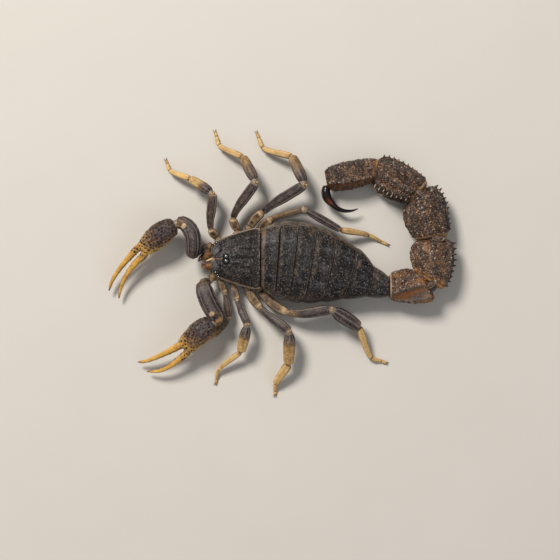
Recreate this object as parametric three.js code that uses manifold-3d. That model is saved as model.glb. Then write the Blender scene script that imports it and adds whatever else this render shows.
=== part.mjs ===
// A life-size model of a desert scorpion of the fat-tailed kind, at rest, with its tail laid in a curl at its right.
// Millimetres, +Z up, and the floor is z = 0. The head faces -Y, and +X is the animal's own left.
import * as THREE from "three";
import Module from "manifold-3d";
import { mergeVertices } from "three/addons/utils/BufferGeometryUtils.js";

// ---------------------------------------------------------------- driving dimensions
const jointGap = 0.2; // free space between two neighbouring plates
const headMidline = -0.95; // x of the head shield's own midline

// Head shield, from its front lobes to its rear border: y, half width and height of the crown.
const carapaceStations = [
  { y: -17.35, half: 3.0, top: 6.7 },
  { y: -16.6, half: 4.0, top: 7.2 },
  { y: -14.8, half: 5.0, top: 8.0 },
  { y: -12.0, half: 6.1, top: 8.6 },
  { y: -9.0, half: 7.0, top: 8.9 },
  { y: -6.4, half: 7.6, top: 9.0 },
  { y: -5.1, half: 7.5, top: 8.8 },
];
const carapaceRim = 5.3; // height of the shield's side edge
const carapaceFloor = { middle: 4.3, edge: 4.8 }; // its underside, clear of the legs' first segments
const frontNotch = { depth: 1.1, half: 0.75 }; // the cleft between the two front lobes
const eyeHill = { y: -13.4, height: 0.45, half: 1.25 };
const eye = { radius: 0.52, apart: 1.2, z: 8.75, socketGap: 0.1 };

// Trunk behind the head: one station at each border between its seven rings, and the border's turn in degrees.
const trunkStations = [
  { x: -0.9, y: -4.9, half: 7.5, top: 9.1, bottom: 2.6, turn: 0 },
  { x: -0.7, y: -0.5, half: 9.55, top: 9.6, bottom: 2.3, turn: 4.5 },
  { x: -0.15, y: 3.9, half: 10.05, top: 9.9, bottom: 1.5, turn: 8 },
  { x: 0.7, y: 8.4, half: 9.6, top: 9.9, bottom: 1.1, turn: 10.5 },
  { x: 1.75, y: 13.25, half: 8.3, top: 9.6, bottom: 1.1, turn: 12.5 },
  { x: 3.05, y: 18.4, half: 6.4, top: 9.1, bottom: 1.3, turn: 14.5 },
  { x: 4.85, y: 22.7, half: 3.95, top: 8.5, bottom: 1.5, turn: 13.5 },
  { x: 6.05, y: 26.7, half: 2.75, top: 7.9, bottom: 1.7, turn: 4 },
];
const trunkRings = trunkStations.length - 1;
const flankHeight = 0.47; // where the trunk is widest, as a share of its depth

// Tail rings: both ends of the axis, the half sizes across and from back to belly, the roll of the back towards the
// animal's right at both ends, and how far both ends lean towards the inside of the curl, in degrees.
const tailRings = [
  { from: [6.0, 27.25, 4.55], to: [5.65, 35.8, 4.7], half: 3.95, deep: 3.85, roll: [24, 58], lean: [2, 24] },
  { from: [4.1, 37.6, 4.75], to: [-4.9, 38.4, 4.75], half: 4.7, deep: 4.85, roll: [62, 68], lean: [22, 2] },
  { from: [-6.3, 38.25, 4.8], to: [-16.8, 35.2, 4.8], half: 4.75, deep: 5.05, roll: [72, 74], lean: [4, 11] },
  { from: [-18.3, 34.2, 4.6], to: [-23.0, 24.8, 4.4], half: 4.5, deep: 4.35, roll: [75, 75], lean: [10, 6] },
  { from: [-23.0, 23.4, 4.2], to: [-20.3, 12.9, 3.8], half: 3.8, deep: 3.7, roll: [75, 72], lean: [8, 0] },
];
const tailCrests = [27, 66, 118, 158]; // degrees from the middle of the back, on either side
const crestTooth = 0.32; // height of the teeth on the tail's crests

// Sting: the bulb and the hooked needle.
const stingBulb = [[-19.3, 11.6, 3.75], [-17.6, 11.35, 3.7], [-16.0, 11.8, 3.65], [-14.9, 12.7, 3.6]];
const stingNeedle = [[-14.6, 13.0, 3.6], [-13.5, 14.3, 3.5], [-12.9, 16.2, 3.4], [-13.0, 18.0, 3.2], [-13.5, 19.5, 3.0]];

// Legs: the joints from the breast plate out to the toe.
const legs = {
  right_1: { size: 0.95, hip: [-6.1, -15.9, 3.1], thigh: [-8.4, -17.4, 3.7], knee: [-17.2, -16.8, 6.4],
    shin: [-20.9, -22.5, 4.3], ankle: [-23.2, -27.8, 1.5], toe: [-26.0, -29.0, 0.3] },
  right_2: { size: 1.0, hip: [-7.9, -10.9, 3.1], thigh: [-11.1, -11.8, 3.8], knee: [-19.9, -6.1, 7.2],
    shin: [-26.3, -9.4, 4.7], ankle: [-29.5, -15.4, 1.5], toe: [-33.2, -16.6, 0.3] },
  right_3: { size: 1.05, hip: [-8.8, -7.7, 3.1], thigh: [-12.6, -4.5, 3.8], knee: [-19.3, 6.1, 7.4],
    shin: [-26.4, 2.9, 4.9], ankle: [-28.9, -4.4, 1.6], toe: [-33.0, -6.1, 0.3] },
  right_4: { size: 1.0, hip: [-8.2, -5.2, 3.0], thigh: [-11.5, -2.0, 3.5], knee: [-13.3, 5.8, 5.6],
    shin: [-8.1, 15.0, 4.9], ankle: [-6.9, 22.1, 1.7], toe: [-4.4, 27.3, 0.3] },
  left_1: { size: 0.75, hip: [4.2, -14.9, 3.0], thigh: [7.7, -13.9, 3.0], knee: [13.9, -12.9, 2.8],
    shin: [18.4, -17.0, 2.2], ankle: [20.2, -20.5, 1.2], toe: [21.1, -23.0, 0.3] },
  left_2: { size: 0.9, hip: [6.0, -11.7, 3.1], thigh: [9.5, -10.8, 3.8], knee: [15.5, -8.2, 6.3],
    shin: [22.3, -9.9, 4.0], ankle: [27.1, -15.6, 1.4], toe: [30.6, -16.4, 0.3] },
  left_3: { size: 1.05, hip: [6.9, -8.1, 3.1], thigh: [11.4, -4.9, 3.8], knee: [17.1, 2.3, 6.7],
    shin: [25.4, 2.0, 4.3], ankle: [30.6, -1.2, 1.5], toe: [33.6, -1.4, 0.3] },
  left_4: { size: 1.1, hip: [7.0, -5.0, 3.0], thigh: [12.5, 1.9, 4.4], knee: [11.7, 12.8, 6.8],
    shin: [16.1, 19.6, 4.5], ankle: [22.4, 22.4, 1.4], toe: [25.1, 26.9, 0.3] },
};
const coxaRoot = { x: 1.15, y: [-12.8, -10.9, -9.0, -7.1], z: 2.95 }; // inner ends, off the midline, for legs 1 to 4
const footHeight = 0.33; // of the sole's middle over the floor
const coxaHalf = [1.0, 1.3, 1.2, 1.1]; // half widths of the first segments, for legs 1 to 4
const legHalf = { femur: 1.2, patella: 1.12, tibia: 0.74, tarsus: 0.5 }; // at size 1

// Pincers: the joints of each arm, then the hand with its fixed finger, then the moving finger.
const arms = {
  right: {
    coxa: [[-2.7, -16.1, 3.3], [-3.7, -17.1, 3.45], [-4.3, -18.4, 4.0]],
    femur: [[-4.0, -19.2, 4.4], [-2.2, -21.4, 4.5]],
    patella: [[-1.05, -22.4, 6.5], [-4.4, -22.0, 7.2], [-8.2, -22.3, 7.0], [-10.7, -24.0, 6.4]],
    hand: [[-10.3, -25.9, 6.2], [-8.6, -28.2, 6.1], [-6.1, -30.8, 5.8], [-4.1, -32.6, 5.5]],
    fixed: [[-2.4, -33.8, 5.1], [0.4, -36.4, 4.4], [3.6, -38.6, 3.6], [6.6, -40.1, 2.8], [9.1, -40.6, 2.2]],
    moving: [[-3.7, -35.8, 5.0], [-1.1, -38.1, 4.4], [1.9, -40.6, 3.6], [4.9, -42.4, 2.8], [7.1, -43.1, 2.2]],
  },
  left: {
    coxa: [[0.9, -16.1, 3.3], [2.3, -17.0, 3.5], [3.5, -17.9, 4.0]],
    femur: [[3.8, -18.4, 4.3], [4.6, -20.8, 5.2]],
    patella: [[5.9, -20.2, 7.0], [8.6, -18.8, 7.5], [11.7, -17.1, 7.1], [13.9, -15.6, 6.5]],
    hand: [[15.3, -16.9, 6.3], [16.7, -18.8, 6.3], [18.4, -21.4, 6.0], [19.9, -23.3, 5.7]],
    fixed: [[20.6, -24.9, 5.3], [22.1, -27.6, 4.6], [23.6, -30.9, 3.7], [24.6, -33.4, 3.0], [25.0, -35.8, 2.3]],
    moving: [[22.8, -23.7, 5.2], [24.1, -25.2, 4.7], [25.9, -27.7, 4.0], [27.1, -30.6, 3.1], [27.2, -33.4, 2.3]],
  },
};
const armHalf = { coxa: 1.05, femur: 1.05, patella: 2.15, hand: 3.2, finger: 1.08 };

const jaws = {
  right: [[-2.4, -17.85, 5.0], [-1.95, -18.5, 5.15], [-1.3, -19.6, 5.05], [-0.95, -20.2, 4.9]],
  left: [[0.5, -17.85, 5.0], [0.4, -18.5, 5.15], [0.15, -19.5, 5.05], [-0.05, -20.1, 4.9]],
};
const jawHalf = 0.78;

const comb = { root: [1.2, -3.1], reach: [7.0, 1.0], z: 1.55, half: 0.5, teeth: 12, toothLength: 1.35 };

// ---------------------------------------------------------------- materials
const shell = (color, roughness) => new THREE.MeshStandardMaterial({ color, roughness, metalness: 0 });
const materials = {
  back: shell(0x23242a, 0.42),
  belly: shell(0x4a3a28, 0.5),
  tail: shell(0x3a2c25, 0.62),
  dark: shell(0x2f2830, 0.45),
  amber: shell(0xb9822f, 0.4),
  ochre: shell(0x8f6d35, 0.5),
  sting: shell(0x160f0f, 0.25),
  eye: shell(0x050506, 0.08),
};

// ---------------------------------------------------------------- ways of making solids
const upwards = new THREE.Vector3(0, 0, 1);
const wasm = await Module();
wasm.setup();

function volumeOf(positions, index) {
  const [a, b, c] = [new THREE.Vector3(), new THREE.Vector3(), new THREE.Vector3()];
  let volume = 0;
  for (let i = 0; i < index.length; i += 3) {
    a.fromArray(positions, index[i] * 3);
    b.fromArray(positions, index[i + 1] * 3);
    c.fromArray(positions, index[i + 2] * 3);
    volume += a.dot(b.cross(c)) / 6;
  }
  return volume;
}

// A closed solid from rings of points: rings[i] is a list of Vector3, all of one length, and both ends are capped.
function loft(rings) {
  const sides = rings[0].length;
  const positions = [];
  const index = [];
  rings.forEach((ring) => ring.forEach((p) => positions.push(p.x, p.y, p.z)));
  for (let r = 0; r + 1 < rings.length; r++)
    for (let s = 0; s < sides; s++) {
      const next = (s + 1) % sides;
      const [a, b, c, d] = [r * sides + s, r * sides + next, (r + 1) * sides + s, (r + 1) * sides + next];
      index.push(a, b, d, a, d, c);
    }
  [0, rings.length - 1].forEach((r) => {
    const middle = rings[r].reduce((sum, p) => sum.add(p), new THREE.Vector3()).divideScalar(sides);
    const hub = positions.length / 3;
    positions.push(middle.x, middle.y, middle.z);
    for (let s = 0; s < sides; s++) {
      const [a, b] = [r * sides + s, r * sides + ((s + 1) % sides)];
      if (r === 0) index.push(hub, b, a);
      else index.push(hub, a, b);
    }
  });
  if (volumeOf(positions, index) < 0)
    for (let i = 0; i < index.length; i += 3) [index[i], index[i + 1]] = [index[i + 1], index[i]];
  const geometry = new THREE.BufferGeometry();
  geometry.setAttribute("position", new THREE.Float32BufferAttribute(positions, 3));
  geometry.setIndex(index);
  geometry.computeVertexNormals();
  return geometry;
}

// Across and upwards at a point of a limb, turned about the tangent by roll degrees.
function frameAt(tangent, roll = 0) {
  const across = new THREE.Vector3().crossVectors(tangent, upwards).normalize();
  const up = new THREE.Vector3().crossVectors(across, tangent).normalize();
  const turn = new THREE.Quaternion().setFromAxisAngle(tangent, THREE.MathUtils.degToRad(roll));
  return { across: across.applyQuaternion(turn), up: up.applyQuaternion(turn) };
}

const signedPower = (value, power) => Math.sign(value) * Math.abs(value) ** power;

// A limb: an oval tube on a smooth path. stations lists [share of the path, half width, half height].
function limb(path, stations, { sides = 8, fullness = 2.3, flatFeet = false } = {}) {
  const curve = new THREE.CatmullRomCurve3(path.map((p) => new THREE.Vector3(...p)), false, "centripetal");
  const rings = stations.map(([share, half, high]) => {
    const centre = curve.getPointAt(share);
    const { across, up } = frameAt(curve.getTangentAt(share));
    return Array.from({ length: sides }, (_, s) => {
      const angle = ((s + 0.5) / sides) * 2 * Math.PI;
      const p = centre.clone();
      p.addScaledVector(across, half * signedPower(Math.cos(angle), 2 / fullness));
      p.addScaledVector(up, high * signedPower(Math.sin(angle), 2 / fullness));
      if (flatFeet) p.z = Math.max(p.z, 0);
      return p;
    });
  });
  return loft(rings);
}

// [share, width, height] stations scaled from a profile of plain shares.
const scaled = (profile, half, high = half) => profile.map(([share, w, h = w]) => [share, w * half, h * high]);

function toSolid(geometry) {
  const bare = geometry.clone().deleteAttribute("normal");
  const merged = mergeVertices(bare, 1e-4);
  const vertProperties = new Float32Array(merged.attributes.position.array);
  const triVerts = new Uint32Array(merged.index.array);
  return new wasm.Manifold(new wasm.Mesh({ numProp: 3, vertProperties, triVerts }));
}

function toGeometry(solid) {
  const mesh = solid.getMesh();
  const geometry = new THREE.BufferGeometry();
  geometry.setAttribute("position", new THREE.BufferAttribute(new Float32Array(mesh.vertProperties), 3));
  geometry.setIndex(new THREE.BufferAttribute(new Uint32Array(mesh.triVerts), 1));
  geometry.computeVertexNormals();
  return geometry;
}

const scorpion = new THREE.Group();

function add(name, geometry, material) {
  const mesh = new THREE.Mesh(geometry, material);
  mesh.name = name;
  scorpion.add(mesh);
}

// ---------------------------------------------------------------- head
// A smooth value along equally numbered stations: t runs from 0 to 1 over all of them.
function alongStations(stations, keys) {
  const curve = new THREE.CatmullRomCurve3(stations.map((s) => new THREE.Vector3(...keys.map((k) => s[k] ?? 0))));
  return (t) => curve.getPoint(t);
}

function makeCarapace() {
  const shape = alongStations(carapaceStations, ["y", "half", "top"]);
  const [ringCount, topSides, underSides] = [13, 18, 5];
  const rings = [];
  for (let r = 0; r < ringCount; r++) {
    const { x: y, y: half, z: top } = shape(r / (ringCount - 1));
    const nearFront = Math.max(0, 1 - r / 3);
    const ring = [];
    for (let s = 0; s <= topSides; s++) {
      const off = -half * Math.cos((s / topSides) * Math.PI);
      const rise = 1 - Math.abs(off / half) ** 2.3;
      const notch = frontNotch.depth * nearFront * Math.exp(-((off / frontNotch.half) ** 2));
      const hill = Math.exp(-(((y - eyeHill.y) / eyeHill.half) ** 2) - (off / eyeHill.half) ** 2);
      const z = carapaceRim + (top - carapaceRim) * rise + eyeHill.height * hill;
      ring.push(new THREE.Vector3(headMidline + off, y + notch, z));
    }
    for (let s = 1; s < underSides; s++) {
      const off = half * Math.cos((s / underSides) * Math.PI) * 0.96;
      const floor = THREE.MathUtils.lerp(carapaceFloor.middle, carapaceFloor.edge, (off / half) ** 2);
      ring.push(new THREE.Vector3(headMidline + off, y, floor));
    }
    rings.push(ring);
  }
  return loft(rings);
}

function eyeBall(side, radius) {
  const ball = new THREE.SphereGeometry(radius, 10, 6);
  return ball.translate(headMidline + (side * eye.apart) / 2, eyeHill.y, eye.z);
}

const sideOf = { left: 1, right: -1 };
let carapace = toSolid(makeCarapace());
for (const [name, side] of Object.entries(sideOf)) {
  const socket = eyeBall(side, eye.radius + eye.socketGap).deleteAttribute("uv");
  carapace = carapace.subtract(toSolid(socket));
  add(`eye_${name}`, eyeBall(side, eye.radius), materials.eye);
}
add("carapace", toGeometry(carapace), materials.back);

const jawProfile = [[0, 0.85], [0.3, 1], [0.6, 0.9], [0.85, 0.6], [1, 0.35]];
for (const [side, path] of Object.entries(jaws))
  add(`chelicera_${side}`, limb(path, scaled(jawProfile, jawHalf, 0.7)), materials.ochre);

// The five-sided breast plate between the legs' first segments.
const breastPlate = [[headMidline, -12.4, 2.5], [headMidline, -9.5, 2.2], [headMidline, -4.6, 2.2]];
const breastStations = [[0, 0.3, 0.4], [0.25, 0.72, 0.6], [0.85, 0.8, 0.6], [1, 0.5, 0.4]];
add("sternum", limb(breastPlate, breastStations), materials.belly);

// ---------------------------------------------------------------- trunk
const trunkLine = alongStations(trunkStations, ["x", "y", "turn"]);
const trunkSize = alongStations(trunkStations, ["half", "top", "bottom"]);

function trunkRing(t, growth) {
  const centre = trunkLine(t);
  const turn = THREE.MathUtils.degToRad(centre.z);
  const across = new THREE.Vector3(Math.cos(turn), -Math.sin(turn), 0);
  const { x: half, y: top, z: bottom } = trunkSize(t);
  const flank = bottom + (top - bottom) * flankHeight;
  const sides = 18;
  return Array.from({ length: sides }, (_, s) => {
    const angle = (s / sides) * 2 * Math.PI;
    const [c, v] = [Math.cos(angle), Math.sin(angle)];
    const [reach, power] = v > 0 ? [top - flank, 0.8] : [flank - bottom, 0.95];
    const p = centre.clone().addScaledVector(across, half * growth * signedPower(c, power));
    p.z = flank + reach * growth * signedPower(v, power);
    return p;
  });
}

for (let ring = 0; ring < trunkRings; ring++) {
  const gap = jointGap / 2 / 4.5 / trunkRings; // as a share of the trunk, whose rings are about 4.5 mm long
  const [from, to] = [ring / trunkRings + gap, (ring + 1) / trunkRings - gap];
  const steps = [[0, 0.965], [0.3, 0.995], [0.75, 1.01], [1, 0.985]];
  const rings = steps.map(([share, growth]) => trunkRing(from + (to - from) * share, growth));
  add(`mesosoma_${ring + 1}`, loft(rings), materials.back);
}

// Combs under the belly: a bar with teeth along its rear edge.
for (const [name, side] of Object.entries(sideOf)) {
  const at = ([x, y]) => new THREE.Vector3(headMidline + side * x, y, comb.z);
  const [root, reach] = [at(comb.root), at(comb.reach)];
  const bar = [[0, 0.8], [0.15, 1], [0.8, 0.9], [1, 0.5]];
  let made = toSolid(limb([root.toArray(), reach.toArray()], scaled(bar, comb.half, 0.3), { sides: 6 }));
  const along = reach.clone().sub(root).normalize();
  for (let tooth = 0; tooth < comb.teeth; tooth++) {
    const start = root.clone().lerp(reach, (tooth + 0.7) / comb.teeth);
    const length = comb.toothLength * (1 - 0.35 * (tooth / comb.teeth) ** 2);
    const end = start.clone().add(new THREE.Vector3(-along.y * side, along.x * side, 0).multiplyScalar(length));
    const shape = limb([start.toArray(), end.toArray()], [[0, 0.22, 0.3], [1, 0.18, 0.26]], { sides: 4 });
    made = made.add(toSolid(shape));
  }
  add(`pecten_${name}`, toGeometry(made), materials.ochre);
}

// ---------------------------------------------------------------- tail
// Half sizes along a tail ring, as shares of its largest: a narrow neck, a swelling barrel and a rounded rear.
const tailProfile = [[0, 0.58], [0.05, 0.74], [0.14, 0.88], [0.24, 0.94], [0.34, 0.98], [0.44, 1], [0.54, 1.01],
  [0.64, 1.01], [0.74, 0.99], [0.84, 0.95], [0.93, 0.84], [1, 0.62]];
const crestAngles = [...tailCrests, ...tailCrests.map((a) => 360 - a).reverse()];

function makeTailRing({ from, to, half, deep, roll, lean }) {
  const [start, end] = [new THREE.Vector3(...from), new THREE.Vector3(...to)];
  const tangent = end.clone().sub(start).normalize();
  const outwards = frameAt(tangent).across;
  const [leanStart, leanEnd] = lean.map((degrees) => Math.tan(THREE.MathUtils.degToRad(degrees)));
  const rings = tailProfile.map(([share, size], step) => {
    const centre = start.clone().lerp(end, share);
    const turned = THREE.MathUtils.lerp(roll[0], roll[1], share);
    const { across, up } = frameAt(tangent, -turned);
    const tooth = step % 2 && step < tailProfile.length - 1 ? crestTooth : 0;
    const slant = leanEnd * share - leanStart * (1 - share);
    return crestAngles.flatMap((angle, i) => {
      const next = crestAngles[(i + 1) % crestAngles.length] + (i + 1 === crestAngles.length ? 360 : 0);
      const at = (degrees, grow) => {
        const a = THREE.MathUtils.degToRad(degrees);
        const p = centre.clone();
        p.addScaledVector(across, -(half * size + grow) * signedPower(Math.sin(a), 0.84));
        p.addScaledVector(up, (deep * size + grow) * signedPower(Math.cos(a), 0.84));
        p.addScaledVector(tangent, slant * p.clone().sub(centre).dot(outwards));
        p.z = Math.max(p.z, 0);
        return p;
      };
      return [at(angle, tooth), at((angle + next) / 2, -0.035 * half)];
    });
  });
  return loft(rings);
}
tailRings.forEach((ring, i) => add(`metasoma_${i + 1}`, makeTailRing(ring), materials.tail));

const bulbStations = [[0, 0.8, 0.85], [0.15, 1.05, 1.2], [0.45, 1.18, 1.4], [0.8, 1.02, 1.2], [1, 0.75, 0.85]];
add("telson_vesicle", limb(stingBulb, bulbStations, { sides: 10 }), materials.sting);
const needleStations = scaled([[0, 1, 1.1], [0.2, 0.88], [0.45, 0.68], [0.7, 0.5], [0.88, 0.36], [1, 0.2]], 0.7);
add("telson_sting", limb(stingNeedle, needleStations), materials.sting);

// ---------------------------------------------------------------- legs
const femurProfile = [[0.2, 0.82], [0.55, 1.05], [0.85, 1], [0.96, 0.8], [0.99, 0.52]];
const patellaProfile = [[0, 0.6], [0.08, 0.9], [0.35, 1.05], [0.7, 0.95], [0.93, 0.78], [1, 0.5]];
const shankProfile = [[0, 0.6], [0.06, 0.95], [0.45, 0.98], [0.93, 0.85], [1, 0.72]];
const footProfile = [[0.15, 1], [0.9, 0.86]];
const toeProfile = [[0.35, 0.82], [0.8, 0.7], [1, 0.5]];

// Part of a limb that ends short of both joints, so that neighbours stay apart.
function between(a, b, before = jointGap / 2, after = jointGap / 2) {
  const [start, end] = [new THREE.Vector3(...a), new THREE.Vector3(...b)];
  const along = end.clone().sub(start).normalize();
  return [start.addScaledVector(along, before).toArray(), end.addScaledVector(along, -after).toArray()];
}

// Stations on one limb made of several straight lengths: each length's own profile is laid on its share of the path.
function chained(points, lengths) {
  const steps = points.slice(1).map((p, i) => new THREE.Vector3(...p).distanceTo(new THREE.Vector3(...points[i])));
  const total = steps.reduce((sum, d) => sum + d, 0);
  let done = 0;
  return lengths.flatMap(({ profile, half, high = half }, i) => {
    const placed = profile.map(([share, w]) => [(done + share * steps[i]) / total, w * half, w * high]);
    done += steps[i];
    return placed;
  });
}

for (const [name, leg] of Object.entries(legs)) {
  const [side, number] = name.split("_");
  const outwards = sideOf[side];
  const root = [headMidline + outwards * coxaRoot.x, coxaRoot.y[number - 1], coxaRoot.z];
  const half = (part) => legHalf[part] * leg.size;
  const upper = [root, leg.hip, leg.thigh, between(leg.thigh, leg.knee, 0, 0.35)[1]];
  const upperStations = chained(upper, [
    { profile: [[0, 0.72], [0.3, 0.86], [0.75, 1]], half: coxaHalf[number - 1], high: 1.1 },
    { profile: [[0.1, 0.84], [0.55, 0.95], [0.95, 0.66]], half: half("femur"), high: 1.05 },
    { profile: femurProfile, half: half("femur") },
  ]);
  const ochreOrDark = number === "4" ? materials.ochre : materials.dark;
  add(`leg_${name}_femur`, limb(upper, upperStations), ochreOrDark);
  const patella = limb(between(leg.knee, leg.shin, 0.95, jointGap), scaled(patellaProfile, half("patella")));
  add(`leg_${name}_patella`, patella, materials.dark);
  const heel = new THREE.Vector3(...leg.ankle).lerp(new THREE.Vector3(...leg.toe), 0.62).setZ(footHeight);
  const lower = [between(leg.shin, leg.ankle, 0.3)[0], leg.ankle, heel.toArray(), leg.toe];
  const lowerStations = chained(lower, [
    { profile: shankProfile.slice(0, -1), half: half("tibia") },
    { profile: footProfile, half: half("tarsus") },
    { profile: toeProfile, half: half("tarsus") },
  ]);
  add(`leg_${name}_tarsus`, limb(lower, lowerStations, { flatFeet: true }), materials.amber);
}

// ---------------------------------------------------------------- pincers
const armProfile = [[0, 0.5], [0.1, 0.78], [0.35, 1], [0.7, 1.02], [0.9, 0.85], [1, 0.55]];
const fingerProfile = [[0, 0.75], [0.12, 0.95], [0.4, 0.85], [0.7, 0.68], [0.9, 0.45], [1, 0.22]];

for (const [side, arm] of Object.entries(arms)) {
  const coxaStations = [[0, 0.75, 0.75], [0.35, 1, 1], [0.6, 0.8, 0.85], [0.8, 1, 1], [1, 0.65, 0.65]];
  add(`pedipalp_${side}_coxa`, limb(arm.coxa, scaled(coxaStations, armHalf.coxa, 1)), materials.ochre);
  add(`pedipalp_${side}_femur`, limb(arm.femur, scaled(armProfile, armHalf.femur)), materials.dark);
  const patella = limb(arm.patella, scaled(armProfile, armHalf.patella, 1.75), { sides: 10 });
  add(`pedipalp_${side}_patella`, patella, materials.dark);
  const handProfile = [[0, 0.36], [0.3, 0.86], [0.6, 1], [0.9, 0.95]];
  const handStations = chained([arm.hand[0], arm.hand[2], arm.fixed[0], arm.fixed[4]], [
    { profile: handProfile, half: armHalf.hand, high: 2.4 },
    { profile: [[0.3, 0.9], [0.62, 0.68], [0.95, 0.44]], half: armHalf.hand, high: 2.3 },
    { profile: fingerProfile.slice(1), half: armHalf.finger, high: 1.05 },
  ]);
  add(`pedipalp_${side}_hand`, limb([...arm.hand, ...arm.fixed], handStations, { sides: 12 }), materials.dark);
  add(`pedipalp_${side}_finger`, limb(arm.moving, scaled(fingerProfile, armHalf.finger, 1.05)), materials.amber);
}

export default scorpion;
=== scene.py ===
import bpy
import math
import numpy as np
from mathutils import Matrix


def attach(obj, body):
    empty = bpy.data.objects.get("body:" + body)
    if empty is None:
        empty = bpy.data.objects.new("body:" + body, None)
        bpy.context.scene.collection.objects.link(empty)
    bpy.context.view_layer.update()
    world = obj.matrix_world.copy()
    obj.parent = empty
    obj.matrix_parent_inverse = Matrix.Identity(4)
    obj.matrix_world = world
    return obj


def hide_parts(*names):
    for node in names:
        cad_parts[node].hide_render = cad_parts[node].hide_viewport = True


# A desert scorpion at rest, life size. Sizes below are in millimetres, the head faces -Y and +X is its own left.
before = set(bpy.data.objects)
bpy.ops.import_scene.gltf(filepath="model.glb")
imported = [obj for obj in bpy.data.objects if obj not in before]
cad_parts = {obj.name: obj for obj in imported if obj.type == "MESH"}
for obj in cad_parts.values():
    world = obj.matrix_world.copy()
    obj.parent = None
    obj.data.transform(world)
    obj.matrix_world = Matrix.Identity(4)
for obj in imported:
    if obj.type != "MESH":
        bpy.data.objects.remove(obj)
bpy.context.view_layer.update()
mm = 0.001


# ---- curves and profiles
def unit(v):
    return v / np.maximum(np.linalg.norm(v, axis=-1, keepdims=True), 1e-9)


def bell(x, width):
    return np.exp(-((np.asarray(x) / width) ** 2))


def ramp(x, low, high):
    t = np.clip((np.asarray(x, float) - low) / (high - low), 0, 1)
    return t * t * (3 - 2 * t)


def power(value, exponent):
    return np.sign(value) * np.abs(value) ** exponent


def ease(stations, x):
    # smooth values through stations of [place, value, ...], without overshoot
    table = np.asarray(stations, float)
    at, values = table[:, 0], table[:, 1:]
    x = np.asarray(x, float)
    step = np.diff(at)[:, None]
    slope = np.diff(values, axis=0) / step
    product = slope[:-1] * slope[1:]
    both = np.where(product > 0, slope[:-1] + slope[1:], 1)
    inner = np.where(product > 0, 2 * product / both, 0)
    ends = np.vstack([slope[:1], inner, slope[-1:]])
    i = np.clip(np.searchsorted(at, x, side="right") - 1, 0, len(at) - 2)
    width = step[i, 0]
    t = np.clip((x - at[i]) / width, 0, 1)[..., None]
    width = width[..., None]
    return (values[i] * (1 + 2 * t) * (1 - t) ** 2 + ends[i] * width * t * (1 - t) ** 2
            + values[i + 1] * t * t * (3 - 2 * t) + ends[i + 1] * width * t * t * (t - 1))


def spline(points, t):
    # a smooth curve through the points, which are evenly numbered from 0 to 1
    p = np.asarray(points, float)
    line = np.vstack([2 * p[0] - p[1], p, 2 * p[-1] - p[-2]])
    s = np.clip(np.asarray(t, float), 0, 1) * (len(p) - 1)
    i = np.minimum(s.astype(int), len(p) - 2)
    w = (s - i)[:, None]
    a, b, c, d = line[i], line[i + 1], line[i + 2], line[i + 3]
    gaps = [np.maximum(np.sum((v - u) ** 2, axis=1) ** 0.25, 1e-2)[:, None] for u, v in ((a, b), (b, c), (c, d))]
    start = ((b - a) / gaps[0] - (c - a) / (gaps[0] + gaps[1]) + (c - b) / gaps[1]) * gaps[1]
    end = ((c - b) / gaps[1] - (d - b) / (gaps[1] + gaps[2]) + (d - c) / gaps[2]) * gaps[1]
    return (b * (1 + 2 * w) * (1 - w) ** 2 + start * w * (1 - w) ** 2 + c * w * w * (3 - 2 * w)
            + end * w * w * (w - 1))


def smoothPath(points, shares):
    # places and directions on the curve at shares of its length, and that length
    dense = np.linspace(0, 1, 40 * (len(points) - 1) + 1)
    line = spline(points, dense)
    run = np.r_[0, np.cumsum(np.linalg.norm(np.diff(line, axis=0), axis=1))]
    t = np.interp(np.asarray(shares, float) * run[-1], run, dense)
    ahead = spline(points, np.clip(t + 1e-3, 0, 1)) - spline(points, np.clip(t - 1e-3, 0, 1))
    return spline(points, t), unit(ahead), run[-1]


def acrossAndUp(tangents, turned=0.0):
    # the two directions square to a limb, the upper one rolled by turned degrees
    across = unit(np.cross(tangents, [0, 0, 1]))
    up = np.cross(across, tangents)
    roll = np.radians(turned) * np.ones(len(tangents))
    c, s = np.cos(roll)[:, None], np.sin(roll)[:, None]
    return across * c + up * s, up * c - across * s


def lumps(points, size, seed=0):
    # soft random hills from -1 to 1, about size apart
    p = np.asarray(points, float) / size
    cell = np.floor(p).astype(np.int64)
    f = p - cell
    f = f * f * (3 - 2 * f)
    total = 0
    for corner in range(8):
        o = np.array([corner & 1, corner >> 1 & 1, corner >> 2 & 1])
        c = cell + o
        mixed = (c[..., 0] * 73856093) ^ (c[..., 1] * 19349663) ^ (c[..., 2] * 83492791) ^ (seed * 26544357 + 12345)
        mixed = ((mixed ^ (mixed >> 13)) * 1274126177) & 0x7FFFFFFF
        total = total + mixed / 0x7FFFFFFF * np.prod(np.where(o, f, 1 - f), axis=-1)
    return total * 2 - 1


def wrapped(angle):
    # degrees from -180 to 180
    return (angle + 180) % 360 - 180


def heading(a, b):
    return unit(np.subtract(b, a))


def stepLengths(points):
    return [float(np.linalg.norm(np.subtract(b, a))) for a, b in zip(points, points[1:])]


def between(a, b, before, after):
    # the two ends of a straight piece that stops short of a and b
    along = heading(a, b)
    return [np.array(a, float) + along * before, np.array(b, float) - along * after]


def chained(points, lengths):
    # stations of a limb made of several straight lengths, each with its own profile
    steps = stepLengths(points)
    total, done, stations = sum(steps), 0.0, []
    for step, (profile, half, high) in zip(steps, lengths):
        stations += [[(done + row[0] * step) / total, row[1] * half, row[-1] * high] for row in profile]
        done += step
    return stations


# ---- skins: closed ring surfaces that carry the masks their finish reads
def writePoints(mesh, key, values, kind="FLOAT"):
    data = mesh.attributes.new(key, kind, "POINT").data
    data.foreach_set("value" if kind == "FLOAT" else "vector", np.asarray(values, float).reshape(-1))


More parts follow.
